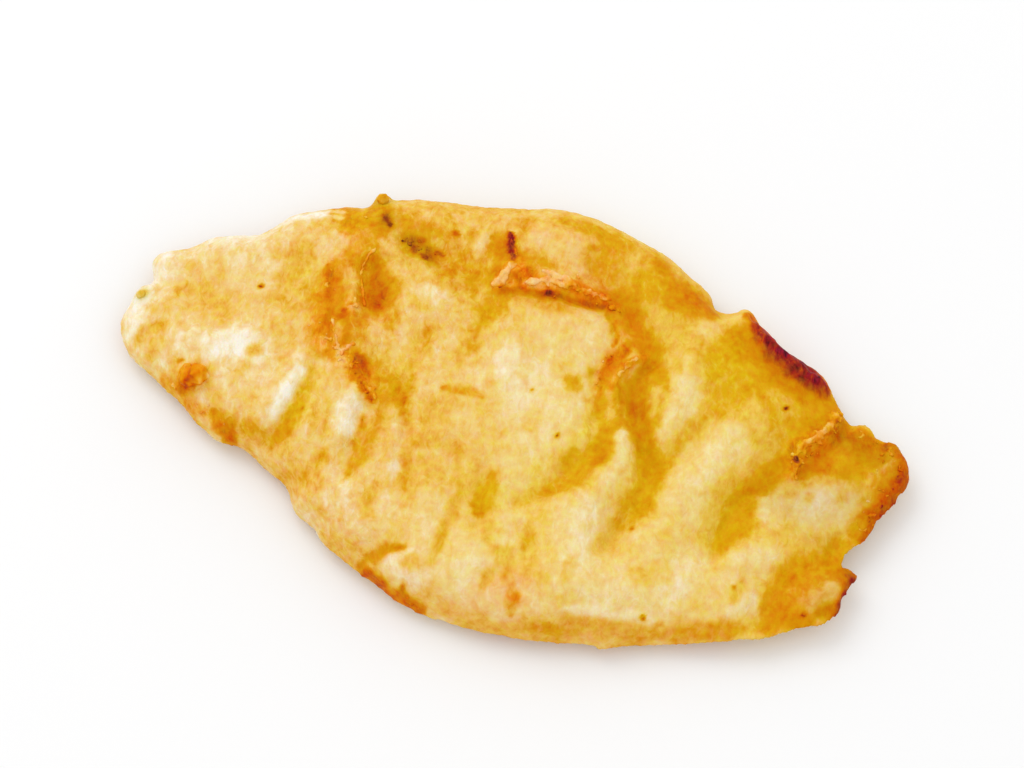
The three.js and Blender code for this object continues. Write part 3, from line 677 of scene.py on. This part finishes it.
    (2.0, 0.46, [(19.6, -36), (23, -35.4)]),
    (2.0, 0.56, [(12.6, -33.4), (15.4, -34)]),
    (1.6, 0.48, [(-4, -42), (1, -40.4)]),
    (1.2, 0.50, [(15, -34), (16, -37), (13, -38), (12.5, -41)]),
    (1.4, 0.66, [(-6, -39.5), (-8.5, -41), (-11, -43), (-13, -44.5)]),
    (1.2, 0.55, [(-4.5, -15), (-2.5, -19)]),
    (0.9, 0.88, [(-3, -47)]),
    (1.2, 0.76, [(-12, -45.5), (-5, -48), (2, -48.3)]),
    (1.4, 0.58, [(18, -39), (19.5, -43.4)]),
    (0.8, 0.74, [(19.6, -40.6)]),
    (1.2, 0.46, [(5, -47.5), (18, -46.8), (30, -43.8)]),
    (1.3, 0.60, [(27, -43), (32, -41.5)]),
    (1.1, 0.20, [(29, -39), (33, -37.5), (38, -36.5), (43, -34), (46, -33.5)]),
    (1.6, 0.55, [(31, -40.5), (35, -39), (40, -38), (46, -35.5), (55, -32), (62, -28.5), (66, -26)]),
    (1.2, 0.58, [(54, -32.5), (62, -29)]),
    (0.5, 0.86, [(44, -33.7)]),
    # burnt lips and the frayed end
    (1.6, 0.74, [(39.6, 38), (41.5, 36.6)]),
    (3.8, 0.73, [(41, 32), (50, 28), (58, 26.4), (62, 25.6)]),
    (3.2, 0.88, [(42.6, 34.8), (46.4, 32.4), (50.6, 31), (54.8, 30.2), (60.4, 28.4)]),
    (2.0, 0.91, [(47, 32.8), (51, 31.6), (55, 30.6), (59, 29.4)]),
    (1.2, 0.64, [(64.4, 24), (64.1, 20), (62.8, 17), (61, 14.6), (60, 12.4), (61, 10), (61.7, 7)]),
    (2.6, 0.75, [(66.8, 23), (66.4, 18), (64.6, 13.4), (62.8, 9)]),
    (0.7, 0.95, [(60.7, 10.7)]),
    (2.6, 0.76, [(68, 21), (75, 21)]),
    (1.2, 0.84, [(73.2, 19.4)]),
    (3.0, 0.68, [(69, 16), (71, 12)]),
    (2.0, 0.58, [(79, 17), (78, 12)]),
    (2.0, 0.46, [(78, 9), (76, 3)]),
    (3.2, 0.80, [(78, 22.8), (81.2, 19.9), (82.4, 16.5), (81.8, 10.9), (80.5, 5.7), (79, 0)]),
    (1.0, 0.86, [(76.2, 22.6), (75.4, 19), (75.6, 17)]),
    (1.0, 0.88, [(80.9, 15.5)]),
    (0.9, 0.84, [(82.5, 12), (81, 7)]),
    (1.2, 0.66, [(76.5, 0), (77, 5)]),
    (1.4, 0.80, [(77, -7.6), (80.4, -8)]),
    (1.7, 0.91, [(80.6, -9), (80.3, -14.7), (79, -18.6)]),
    (1.2, 0.40, [(75.6, -13.4), (77, -12)]),
    (1.8, 0.72, [(76.6, -18), (78, -16)]),
    (1.8, 0.74, [(73.6, -7.4), (77, -8.6)]),
    (2.4, 0.74, [(73, 17), (77, 19)]),
]
BROWNING = 0.37
BLUNT_END_PALER = 0.08
RIM_BROWNING = 0.40
RIM_MOTTLED = 0.12
RIM_WIDTH = 2.1  # mm
BLUNT_RIM_SHARE = 0.55
FRAYED_RIM_ADDS = 0.45
UNDERSIDE_BROWNING = 0.50
UNDERSIDE_PATCHY = 0.16
UNDERSIDE_MOTTLED = 0.10
UNDERSIDE_DIMPLED = 0.05
RAGGED_EDGES = 0.35


def stained_and_painted(shade, flat, spread, ragged):
    """A shade with the stains, and the painted highlights and shades among them, laid over it, wider or
    narrower by spread and with ragged edges.
    """
    for half, tone, line in STAINS_AND_PAINTED_LIGHT:
        near = 1 - (1 - beside(flat, line, half * spread)) ** 1.5
        near = 0.6 * near + 0.4 * ramp(0.2, 0.9, near + 0.2 * ragged)
        shade = shade + (tone - shade) * near
    return shade


# Hue of the skin. It turned lemon yellow where egg lay thick and orange where it fried thin. Each place
# has its half width in mm, its warmth from 0, lemon, to 1, orange, and its line or spot.
WARMTH = [
    (6.0, 0.62, [(-58, 15), (-45, 22), (-30, 33)]),
    (3.0, 0.36, [(-50, 9)]),
    (3.4, 0.66, [(-43, 14), (-42, 6)]),
    (3.0, 0.56, [(-36.4, 16.6), (-34, 10)]),
    (4.4, 0.72, [(-34, 7), (-31, 1)]),
    (3.6, 0.66, [(-42, 2), (-41, -2), (-36, -4)]),
    (3.4, 0.36, [(-48, 24), (-43, 27)]),
    (2.6, 0.20, [(-42.7, 32.4)]),
    (2.0, 0.10, [(-81, -7.6)]),
    (3.2, 0.28, [(-34, 25), (-30, 24), (-27, 22)]),
    (2.0, 0.28, [(-39.4, 27.8)]),
    (3.4, 0.42, [(-23, -9), (-22, -4)]),
    (4.0, 0.60, [(-22, 20), (-22, 30)]),
    (4.0, 0.36, [(-38.4, -14), (-39, -22)]),
    (4.0, 0.64, [(-21, -17), (-11, -25)]),
    (3.6, 0.40, [(-11.5, 15)]),
    (4.0, 0.62, [(-6, 21), (6, 22), (12, 21)]),
    (3.0, 0.66, [(-9, 26), (0, 28)]),
    (4.0, 0.66, [(-18, 35), (-8, 37), (2, 39)]),
    (3.4, 0.42, [(-14, 22)]),
    (5.0, 0.84, [(4, 31), (10, 29)]),
    (4.4, 0.60, [(14, 27), (19, 23)]),
    (3.4, 0.68, [(17.6, 18), (17, 12)]),
    (6.0, 0.62, [(10, 38), (22, 38), (30, 34)]),
    (4.0, 0.34, [(18, 35)]),
    (5.0, 0.30, [(31, -1), (35, -6), (34, -14)]),
    (3.4, 0.44, [(24, 15), (27, 6)]),
    (4.0, 0.32, [(20, 2), (19, -9)]),
    (3.4, 0.26, [(5, -23)]),
    (8.0, 0.40, [(46, 14), (40, 0)]),
    (6.0, 0.28, [(39, 26), (42, 20)]),
    (5.4, 0.27, [(53, -4), (52, -12)]),
    (3.6, 0.36, [(14, -12), (10, -20)]),
    (4.0, 0.62, [(-3, -17)]),
    (5.0, 0.60, [(63, 4), (73, 7)]),
    (4.0, 0.30, [(60, 13)]),
    (5.0, 0.80, [(20, -38), (14, -42)]),
    (4.0, 0.66, [(-60, -26), (-30, -36), (-14, -43), (5, -47)]),
    (4.0, 0.70, [(5, -47), (22, -45), (42, -39), (60, -30)]),
    (2.6, 0.84, [(42, 36), (50, 32.4), (60, 30)]),
    (3.4, 0.68, [(80, 20), (80, 2)]),
    (5.0, 0.66, [(77, -12), (70, -19)]),
    (3.0, 0.70, [(64, 16), (65, 11)]),
]
# Painted shade: the skin is made a little darker where shade falls on it, mostly on the frayed end,
# which slopes away from the light; a few spots on the far slope, the bead and the knob at the rim are
# also made darker: half width in mm, share of that and line.
PAINTED_SHADE_AND_DARKER = [
    (6.6, 1.0, [(59, 1), (70, 5), (78, 8)]),
    (3.0, 0.2, [(28, 8), (25, 14)]),
    (4.0, 0.9, [(66, 20), (80, 18), (80, 2)]),
    (4.0, 0.8, [(79, -10), (76, -17)]),
    (2.4, 0.9, [(44, 35), (54, 30.6), (60, 29.4)]),
    (3.0, 0.5, [(66, -3), (74, -3)]),
    (3.0, 1.0, [(-35, 25), (-30, 24), (-26, 22)]),
    (2.4, 1.0, [(-39.4, 27.8)]),
    (2.4, 1.0, [(-42.7, 32.4)]),
    (2.0, 1.0, [(-81, -7.6)]),
]
WARMTH_OF_BLUNT_HALF = 0.59
WARMTH_OF_FRAYED_HALF = 0.46


def painted_shade_and_darker(flat):
    """How much each point is darkened, as painted shade on the frayed end and plainly elsewhere."""
    share = np.zeros(len(flat))
    for half, value, line in PAINTED_SHADE_AND_DARKER:
        share = np.maximum(share, value * beside(flat, line, half))
    return share


def warmth_of(flat):
    """How warm each point's hue is."""
    along = ramp(-20, 15, flat[:, 0])
    warmth = WARMTH_OF_BLUNT_HALF + (WARMTH_OF_FRAYED_HALF - WARMTH_OF_BLUNT_HALF) * along
    for half, value, line in WARMTH:
        warmth = warmth + (value - warmth) * beside(flat, line, half)
    return warmth


# How much each unevenness of the skin changes its browning.
PATCHY = 0.05
MOTTLED = 0.06
CRUMBLED = 0.05
# Proud places paler and hollows darker: partly the batter's own browning, partly painted shade in the
# hollows.
PROUD_PALER_HOLLOWS_SHADED = 0.06
SMOOTHER_FRAYED_HALF = 0.3
SMOOTHER_HOLLOWS = 0.5
patches = uneven(places, 11.0, 6)
mottles = uneven(places, (4.0, 5.5, 4.0), 7)
shade = BROWNING - BLUNT_END_PALER * (1 - ramp(-75, -25, flat[:, 0]))
shade = shade + PATCHY * patches - PROUD_PALER_HOLLOWS_SHADED * proud
rim_share = BLUNT_RIM_SHARE + FRAYED_RIM_ADDS * ramp(-75, -40, flat[:, 0])
rim = np.exp(-(read(rim_soft) / RIM_WIDTH) ** 2) * rim_share
shade = shade + (RIM_BROWNING + RIM_MOTTLED * mottles - shade) * rim
shade = stained_and_painted(shade, flat, 1 + RAGGED_EDGES * uneven(places, 5.0, 12), ragged)
# The frayed half and the deep hollows, where the batter lay thick, have a fainter grain.
grained = 1 - SMOOTHER_FRAYED_HALF * ramp(-25, 10, flat[:, 0])
grained = grained * (1 - SMOOTHER_HOLLOWS * ramp(0.6, 0.74, shade) * (1 - crispness))
wisps = 1 - 2 * np.abs(uneven(places, (1.8, 4.5, 3.0), 15))
shade = shade + MOTTLED * mottles + CRUMBLED * grained * (crumb - wisps + 0.6)
hidden = UNDERSIDE_BROWNING + UNDERSIDE_PATCHY * patches
hidden = hidden + UNDERSIDE_MOTTLED * mottles + UNDERSIDE_DIMPLED * dimples
shade = shade + (hidden - shade) * under


def keep_on_points(mesh, name, values):
    """Keeps a value from 0 to 1 on each point of a skin."""
    kept = mesh.attributes.new(name, "FLOAT", "POINT")
    kept.data.foreach_set("value", np.clip(values, 0, 1).astype(np.float32))


def keep_finish(mesh, flat, browning, crispness, grained):
    """Keeps on a skin's points all that its finish reads from them."""
    keep_on_points(mesh, "browning", browning)
    keep_on_points(mesh, "crispness", crispness)
    keep_on_points(mesh, "warmth", warmth_of(flat))
    # The painted shade and darkening.
    keep_on_points(mesh, "painted_shade_and_darker", painted_shade_and_darker(flat))
    keep_on_points(mesh, "grained", grained)


keep_finish(body, flat, shade, crispness, grained)

# The crust's finish: egg batter at every stage of browning, a little light passing through it, and a
# grain of fine bubbles and threads of egg.
BATTER_TONES = [
    # browning, then the colour as a paint chart gives it
    (0.00, (253, 246, 228)),
    (0.14, (248, 231, 185)),
    (0.30, (243, 211, 132)),
    (0.45, (240, 195, 82)),
    (0.60, (228, 168, 20)),
    (0.72, (220, 149, 2)),
    (0.82, (210, 122, 0)),
    (0.91, (168, 70, 14)),
    (1.00, (88, 30, 14)),
]
# The crisp places turn orange rather than golden, with peach on their edges.
CRISP_TONES = [
    (0.00, (254, 230, 190)),
    (0.24, (251, 212, 146)),
    (0.42, (248, 191, 92)),
    (0.56, (241, 166, 28)),
    (0.68, (232, 144, 2)),
    (0.80, (212, 108, 2)),
    (0.90, (168, 64, 34)),
    (1.00, (82, 28, 18)),
]
LIGHT_ON_BATTER = 1.10
GRAIN_ASLANT = math.radians(20)
GRAIN_OF_BATTER = 0.34
GRAIN_OF_CRISP = 0.68
LEMON_HUE = 0.53
ORANGE_HUE = 0.47
# Painted shade: how light the most shaded places stay.
PAINTED_SHADE_LIGHTNESS = 0.86
PALE_ROUGHNESS = 0.62
BROWN_ROUGHNESS = 0.42
LIGHT_PASSING = 0.15
LIGHT_REACH = 1.0 * MM
LIGHT_COLOURS = (1.0, 0.45, 0.15)
SHEEN = 0.02
BUBBLE_STRENGTH = 0.7
BUBBLE_HEIGHT = 0.3 * MM


def paint(tone):
    """A chart colour as a share of light given back, under the light that falls on the crust."""
    shares = [((value / 255 + 0.055) / 1.055) ** 2.4 for value in tone]
    return (*(share / LIGHT_ON_BATTER for share in shares), 1)


def batter_finish():
    """A fried batter that takes its browning and crispness from the skin's points."""
    material = bpy.data.materials.new("fried_batter")
    material.use_nodes = True
    nodes, links = material.node_tree.nodes, material.node_tree.links
    batter = nodes["Principled BSDF"]
    where = nodes.new("ShaderNodeTexCoord").outputs["Object"]

    def grain(size, detail, roughness, stretch=(1, 1, 1), astray=0.0):
        """Noise with lumps of a size in mm, stretched along the folds and led astray."""
        turned = nodes.new("ShaderNodeMapping")
        turned.vector_type = "TEXTURE"
        turned.inputs["Rotation"].default_value[2] = GRAIN_ASLANT
        turned.inputs["Scale"].default_value = [size * MM * part for part in stretch]
        links.new(where, turned.inputs["Vector"])
        texture = nodes.new("ShaderNodeTexNoise")
        texture.inputs["Scale"].default_value = 1
        texture.inputs["Detail"].default_value = detail
        texture.inputs["Roughness"].default_value = roughness
        texture.inputs["Distortion"].default_value = astray
        links.new(turned.outputs["Vector"], texture.inputs["Vector"])
        return texture.outputs["Fac"]

    def plus(a, b, times):
        """a + b * times, about the middle of b"""
        centred = nodes.new("ShaderNodeMath")
        centred.operation = "SUBTRACT"
        links.new(b, centred.inputs[0])
        centred.inputs[1].default_value = 0.5
        add = nodes.new("ShaderNodeMath")
        add.operation = "MULTIPLY_ADD"
        links.new(centred.outputs[0], add.inputs[0])
        add.inputs[1].default_value = times
        links.new(a, add.inputs[2])
        return add.outputs[0]

    def colours_of(tones, tone):
        """The colour of each browning."""
        colours = nodes.new("ShaderNodeValToRGB")
        steps = colours.color_ramp.elements
        while len(steps) < len(tones):
            steps.new(0.5)
        for step, (place, colour) in zip(steps, tones):
            step.position = place
            step.color = paint(colour)
        links.new(tone, colours.inputs["Fac"])
        return colours.outputs["Color"]

    def from_points(name):
        """A value that is kept on the skin's points."""
        attribute = nodes.new("ShaderNodeAttribute")
        attribute.attribute_name = name
        return attribute.outputs["Fac"]

    def by_grain(noise):
        """The noise, fainter where the batter is smooth."""
        shown = nodes.new("ShaderNodeMix")
        shown.inputs["A"].default_value = 0.5
        links.new(from_points("grained"), shown.inputs["Factor"])
        links.new(noise, shown.inputs["B"])
        return shown.outputs["Result"]

    browning = from_points("browning")
    patches = grain(3.0, 3, 0.6, (1, 1.4, 1), 0.8)
    mottles = grain(1.5, 2, 0.6, (1, 1.7, 1), 1.0)
    threads = grain(0.7, 2, 0.5, (1, 3.5, 1), 0.6)
    bubbles = grain(0.55, 2, 0.6)
    crumbs = grain(1.3, 3, 0.6, (1, 2.2, 1), 1.0)
    speckle = plus(plus(plus(patches, mottles, 1.2), threads, 0.25), bubbles, 0.15)
    tone = plus(browning, by_grain(speckle), GRAIN_OF_BATTER)
    soft = colours_of(BATTER_TONES, tone)
    crackle = by_grain(plus(crumbs, bubbles, 0.2))
    rough = colours_of(CRISP_TONES, plus(browning, crackle, GRAIN_OF_CRISP))
    mixed = nodes.new("ShaderNodeMix")
    mixed.data_type = "RGBA"
    links.new(from_points("crispness"), mixed.inputs["Factor"])
    links.new(soft, mixed.inputs["A"])
    links.new(rough, mixed.inputs["B"])
    hue = nodes.new("ShaderNodeMapRange")
    hue.inputs["To Min"].default_value = LEMON_HUE
    hue.inputs["To Max"].default_value = ORANGE_HUE
    links.new(plus(from_points("warmth"), grain(1.6, 2, 0.5), 1.2), hue.inputs["Value"])
    tinted = nodes.new("ShaderNodeHueSaturation")
    links.new(hue.outputs["Result"], tinted.inputs["Hue"])
    # Painted shade: the colour's value is lowered where the skin keeps painted shade and darkening.
    light = nodes.new("ShaderNodeMapRange")
    light.inputs["To Min"].default_value = 1.0
    light.inputs["To Max"].default_value = PAINTED_SHADE_LIGHTNESS
    links.new(from_points("painted_shade_and_darker"), light.inputs["Value"])
    links.new(light.outputs["Result"], tinted.inputs["Value"])
    links.new(mixed.outputs["Result"], tinted.inputs["Color"])
    links.new(tinted.outputs["Color"], batter.inputs["Base Color"])
    gloss = nodes.new("ShaderNodeMapRange")
    gloss.inputs["From Max"].default_value = 0.8
    gloss.inputs["To Min"].default_value = PALE_ROUGHNESS
    gloss.inputs["To Max"].default_value = BROWN_ROUGHNESS
    links.new(tone, gloss.inputs["Value"])
    links.new(gloss.outputs["Result"], batter.inputs["Roughness"])
    batter.inputs["Subsurface Weight"].default_value = LIGHT_PASSING
    batter.inputs["Subsurface Radius"].default_value = LIGHT_COLOURS
    batter.inputs["Subsurface Scale"].default_value = LIGHT_REACH
    batter.inputs["Specular IOR Level"].default_value = SHEEN
    bump = nodes.new("ShaderNodeBump")
    bump.inputs["Strength"].default_value = BUBBLE_STRENGTH
    bump.inputs["Distance"].default_value = BUBBLE_HEIGHT
    links.new(by_grain(plus(mottles, bubbles, 0.6)), bump.inputs["Height"])
    links.new(bump.outputs["Normal"], batter.inputs["Normal"])
    return material


fried_batter = batter_finish()


def in_batter(name, skin):
    """Shows a skin as a piece in fried batter."""
    skin.materials.clear()
    skin.materials.append(fried_batter)
    skin.shade_smooth()
    piece = bpy.data.objects.new(name, skin)
    bpy.context.collection.objects.link(piece)
    return piece


fillet = in_batter("fried_fillet", body)
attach(fillet, "root")
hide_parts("fillet")

# Crisp crumbs, lips and drips. In the crisp places small bits of batter stand up from the skin or lie
# on it, fused with it as they fried. They sit along these lines: half width in mm, crumbs for each mm,
# their radius in mm, line.
CRUMBS = [
    # the seam across the blunt half
    (2.4, 1.8, 0.36, [(-45.5, 13), (-43.5, 8), (-42, 3), (-41, -1)]),
    (2.4, 2.6, 0.40, [(-41, -3), (-37, -5), (-33, -6.4), (-29, -9.4)]),
    (0.9, 5.0, 0.40, [(-28.2, -10.4), (-24.2, -12)]),
    (2.6, 0.8, 0.36, [(-48, 25), (-44, 26), (-41, 30)]),
    (1.8, 2.0, 0.36, [(-34.6, 25.6), (-30, 24), (-26, 23)]),
    # the lip over the plateau
    (1.0, 3.0, 0.45, [(-11.7, 20.4), (-10, 28)]),
    (1.9, 6.0, 0.52, [(-5.4, 25), (-2, 26.4), (1, 27), (4, 27.4)]),
    (1.2, 3.6, 0.40, [(4, 26.6), (9, 26.8), (14, 27)]),
    (1.0, 1.2, 0.36, [(16.4, 20), (16.6, 14), (16.6, 9)]),
    # the frayed end
    (1.6, 7.0, 0.40, [(64.8, 24.6), (64.2, 20), (62.6, 16.6), (60.8, 13.6), (60.4, 9.4)]),
    (2.4, 3.4, 0.40, [(76.4, 21), (80, 18.6), (80.6, 14), (79.6, 10), (78.8, 4), (78.4, -1)]),
    (1.6, 2.0, 0.36, [(75.6, 18), (78, 13.6)]),
    (1.8, 1.6, 0.36, [(68, 22), (76, 21)]),
    # rims
    (1.0, 1.4, 0.34, [(-68, -23), (-57, -27), (-50, -29)]),
    (0.6, 1.4, 0.36, [(-12, -45.5), (-5, -48), (2, -48.3)]),
]
# Threads and flakes of batter, which ran out and stand as small ridges: their radius in mm and line.
THREADS = [
    (0.36, [(-38.6, 20), (-39.4, 17), (-39.1, 13.2), (-37.1, 10), (-35.2, 6.6)]),
    (0.36, [(-40, 0.6), (-37.6, -2.8), (-35.4, -5.8)]),
    (0.50, [(-37.4, 7), (-36.8, 5)]),
    (0.50, [(-34.6, -6.6), (-34.2, -4.4), (-33.6, -2.4)]),
    (0.40, [(-32, -6), (-31.4, -8.4)]),
    (0.75, [(-11.8, 20.9), (-11.4, 22.6), (-10.8, 24.6), (-10, 27.4)]),
    (0.65, [(-10.6, 21.4), (-9.9, 24)]),
    (0.65, [(-5.6, 24.5), (-3.6, 24.9)]),
    (0.60, [(-3.9, 28.2), (-1, 27.8), (1, 28.2), (2.4, 27.8)]),
    (0.55, [(-3, 26.2), (-0.4, 26.6), (2, 26.4)]),
    (0.50, [(3.2, 31.4), (3.4, 29.6)]),
    (0.45, [(4.2, 27), (7.5, 27.2), (10.3, 27.6), (12.6, 27.8)]),
    (0.34, [(-14, 34.5), (-11.7, 31.5), (-10.1, 29.6)]),
    (0.55, [(22, 18.4), (21.2, 17), (20.5, 15), (20, 12)]),
    (0.55, [(64.6, 25), (64.1, 21), (63.2, 18), (61.4, 15.6), (60, 12.6)]),
    (0.40, [(60.2, 11.6), (61.2, 9), (61.7, 6.8)]),
]
# Drips and knobs that ran together as they fried: place on the fillet, how far above the skin its
# middle lies, and radius.
DRIPS = [
    (-60.8, -21.2, -0.3, 2.7),
    (-62.6, -22.2, -0.5, 2.3),
    (-63.6, -20.4, -0.6, 1.4),
    (-42.7, 32.6, 0.0, 1.5),
    (-81.0, -7.5, 0.2, 1.2),
]
CRUMB_GRAIN = 0.25 * MM
CRUMB_SMOOTHINGS = 1
CRUMB_TOP = solid_high[2] + 0.4 * MM
CRUMB_PRESSED = 0.5 * MM
HIGH_ABOVE = 50 * MM
chance = np.random.default_rng(58)
skin_faces = bmesh.new()
skin_faces.from_mesh(body)
surface = BVHTree.FromBMesh(skin_faces)
skin_faces.free()
crumbs = bmesh.new()


def set_in(x, y, above, radius, lumpy):
    """Sets one lump of batter in the skin, round or lumpy, and deep enough for its top to stay whole."""
    hit = surface.ray_cast(Vector((x * MM, y * MM, HIGH_ABOVE)), Vector((0, 0, -1)))[0]
    if hit is None:
        return
    turn = Matrix.Rotation(chance.uniform(0, math.tau), 4, "Z")
    turn = turn @ Matrix.Rotation(chance.normal(0, 0.7), 4, "X")
    sides = 1 + lumpy * chance.uniform((-0.2, -0.5, -0.5), (0.9, 0.1, 0))
    size = Matrix.Diagonal((*(sides * radius * MM), 1))
    above = min(above * MM, CRUMB_TOP - hit.z - 0.9 * radius * MM)
    place = Matrix.Translation(hit + Vector((0, 0, above)))
    bmesh.ops.create_icosphere(crumbs, subdivisions=1, radius=1, matrix=place @ turn @ size)


for half, density, radius, line in CRUMBS:
    for start, end in zip(line, line[1:]):
        for _ in range(round(density * math.dist(start, end))):
            x, y = np.array(start) + chance.uniform() * np.subtract(end, start)
            x += chance.normal(0, 0.5 * half)
            y += chance.normal(0, 0.5 * half)
            size = radius * chance.uniform(0.5, 1.3)
            set_in(x, y, size * chance.uniform(-0.7, 0.4), size, 1)
for radius, line in THREADS:
    for start, end in zip(line, line[1:]):
        steps = math.ceil(math.dist(start, end) / radius * 1.6)
        for step in range(steps):
            x, y = np.array(start) + (step + 0.5) / steps * np.subtract(end, start)
            x += chance.normal(0, 0.35 * radius)
            y += chance.normal(0, 0.35 * radius)
            set_in(x, y, radius * chance.uniform(-0.6, 0.2), radius * chance.uniform(0.7, 1.2), 0.5)
for x, y, above, radius in DRIPS:
    set_in(x, y, above, radius, 0)
crumb_skin = bpy.data.meshes.new("crumbs")
crumbs.to_mesh(crumb_skin)
crumbs.free()
crumb_skin = fine_skin(crumb_skin, CRUMB_GRAIN, CRUMB_SMOOTHINGS)
# How rough and how browned the crumbs are. Their tops are painted lighter and their sides darker, as a
# painted highlight and painted shade, and the drips are smoother than the rest.
COARSELY_ROUGH = 0.16  # mm
FINELY_ROUGH = 0.12  # mm
CRUMB_BROWNING = 0.5
CRUMB_SIDE_PAINTED_DARKER = 0.06
CRUMB_TOP_PAINTED_LIGHTER = 0.20
CRUMB_PATCHY = 0.16
PALEST_CRUMB = 0.33
SMOOTHER_CRUMBS = 0.3
SMOOTHER_DRIPS = 0.75
places, outward = points_of(crumb_skin)
roughening = COARSELY_ROUGH * uneven(places, 1.1, 21) + FINELY_ROUGH * uneven(places, 0.6, 22)
places += outward * (roughening * MM)[:, None]
pressed_back(places, CRUMB_TOP, CRUMB_PRESSED)
crumb_skin.vertices.foreach_set("co", places.ravel())
crumb_skin.update()
flat = from_above(places)
shade = stained_and_painted(CRUMB_BROWNING, flat, 1, np.zeros(len(places)))
unburnt = 1 - ramp(0.7, 0.9, shade)
# Painted highlight and shade: faces that look up are lighter and sides darker, except where burnt.
shade = shade + unburnt * (CRUMB_SIDE_PAINTED_DARKER - CRUMB_TOP_PAINTED_LIGHTER * outward[:, 2])
shade = np.maximum(shade + CRUMB_PATCHY * uneven(places, 1.3, 23), PALEST_CRUMB)
smooth = np.full(len(places), SMOOTHER_CRUMBS)
for x, y, _, radius in DRIPS:
    smooth = np.maximum(smooth, SMOOTHER_DRIPS * beside(flat, [(x, y)], radius + 1))
keep_finish(crumb_skin, flat, shade, np.ones(len(places)), 1 - smooth)
crisp = in_batter("crisp_crumbs", crumb_skin)
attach(crisp, "root")

# The table: a plain white board, wide enough to fill the picture. It only shows the fillet and is no
# part of it.
TABLE_SIZE = 3.0
TABLE_WHITE = (0.9, 0.9, 0.9, 1)
TABLE_ROUGHNESS = 0.9
TABLE_SHEEN = 0.1
table_mesh = bmesh.new()
bmesh.ops.create_grid(table_mesh, x_segments=1, y_segments=1, size=TABLE_SIZE / 2)
table_data = bpy.data.meshes.new("table")
table_mesh.to_mesh(table_data)
table_mesh.free()
white = bpy.data.materials.new("white_board")
white.use_nodes = True
board = white.node_tree.nodes["Principled BSDF"]
board.inputs["Base Color"].default_value = TABLE_WHITE
board.inputs["Roughness"].default_value = TABLE_ROUGHNESS
board.inputs["Specular IOR Level"].default_value = TABLE_SHEEN
table_data.materials.append(white)
table = bpy.data.objects.new("table", table_data)
bpy.context.collection.objects.link(table)

# Studio light: a bright white room, and a wide soft light high over the far left.
ROOM_BRIGHTNESS = 0.96
ROOM_WHITE = (1, 1, 1, 1)
room = bpy.data.worlds.new("room")
room.use_nodes = True
room.node_tree.nodes["Background"].inputs["Color"].default_value = ROOM_WHITE
room.node_tree.nodes["Background"].inputs["Strength"].default_value = ROOM_BRIGHTNESS
bpy.context.scene.world = room
KEY_POWER = 5.6
KEY_SIZE = 1.0
KEY_PLACE = Vector((-0.9, 0.5, 1.25))
key_data = bpy.data.lights.new("key", "AREA")
key_data.energy = KEY_POWER
key_data.size = KEY_SIZE
key = bpy.data.objects.new("key", key_data)
key.location = KEY_PLACE
key.rotation_mode = "QUATERNION"
key.rotation_quaternion = (-KEY_PLACE).to_track_quat("-Z", "Y")
bpy.context.collection.objects.link(key)
bpy.context.scene.view_settings.view_transform = "Standard"
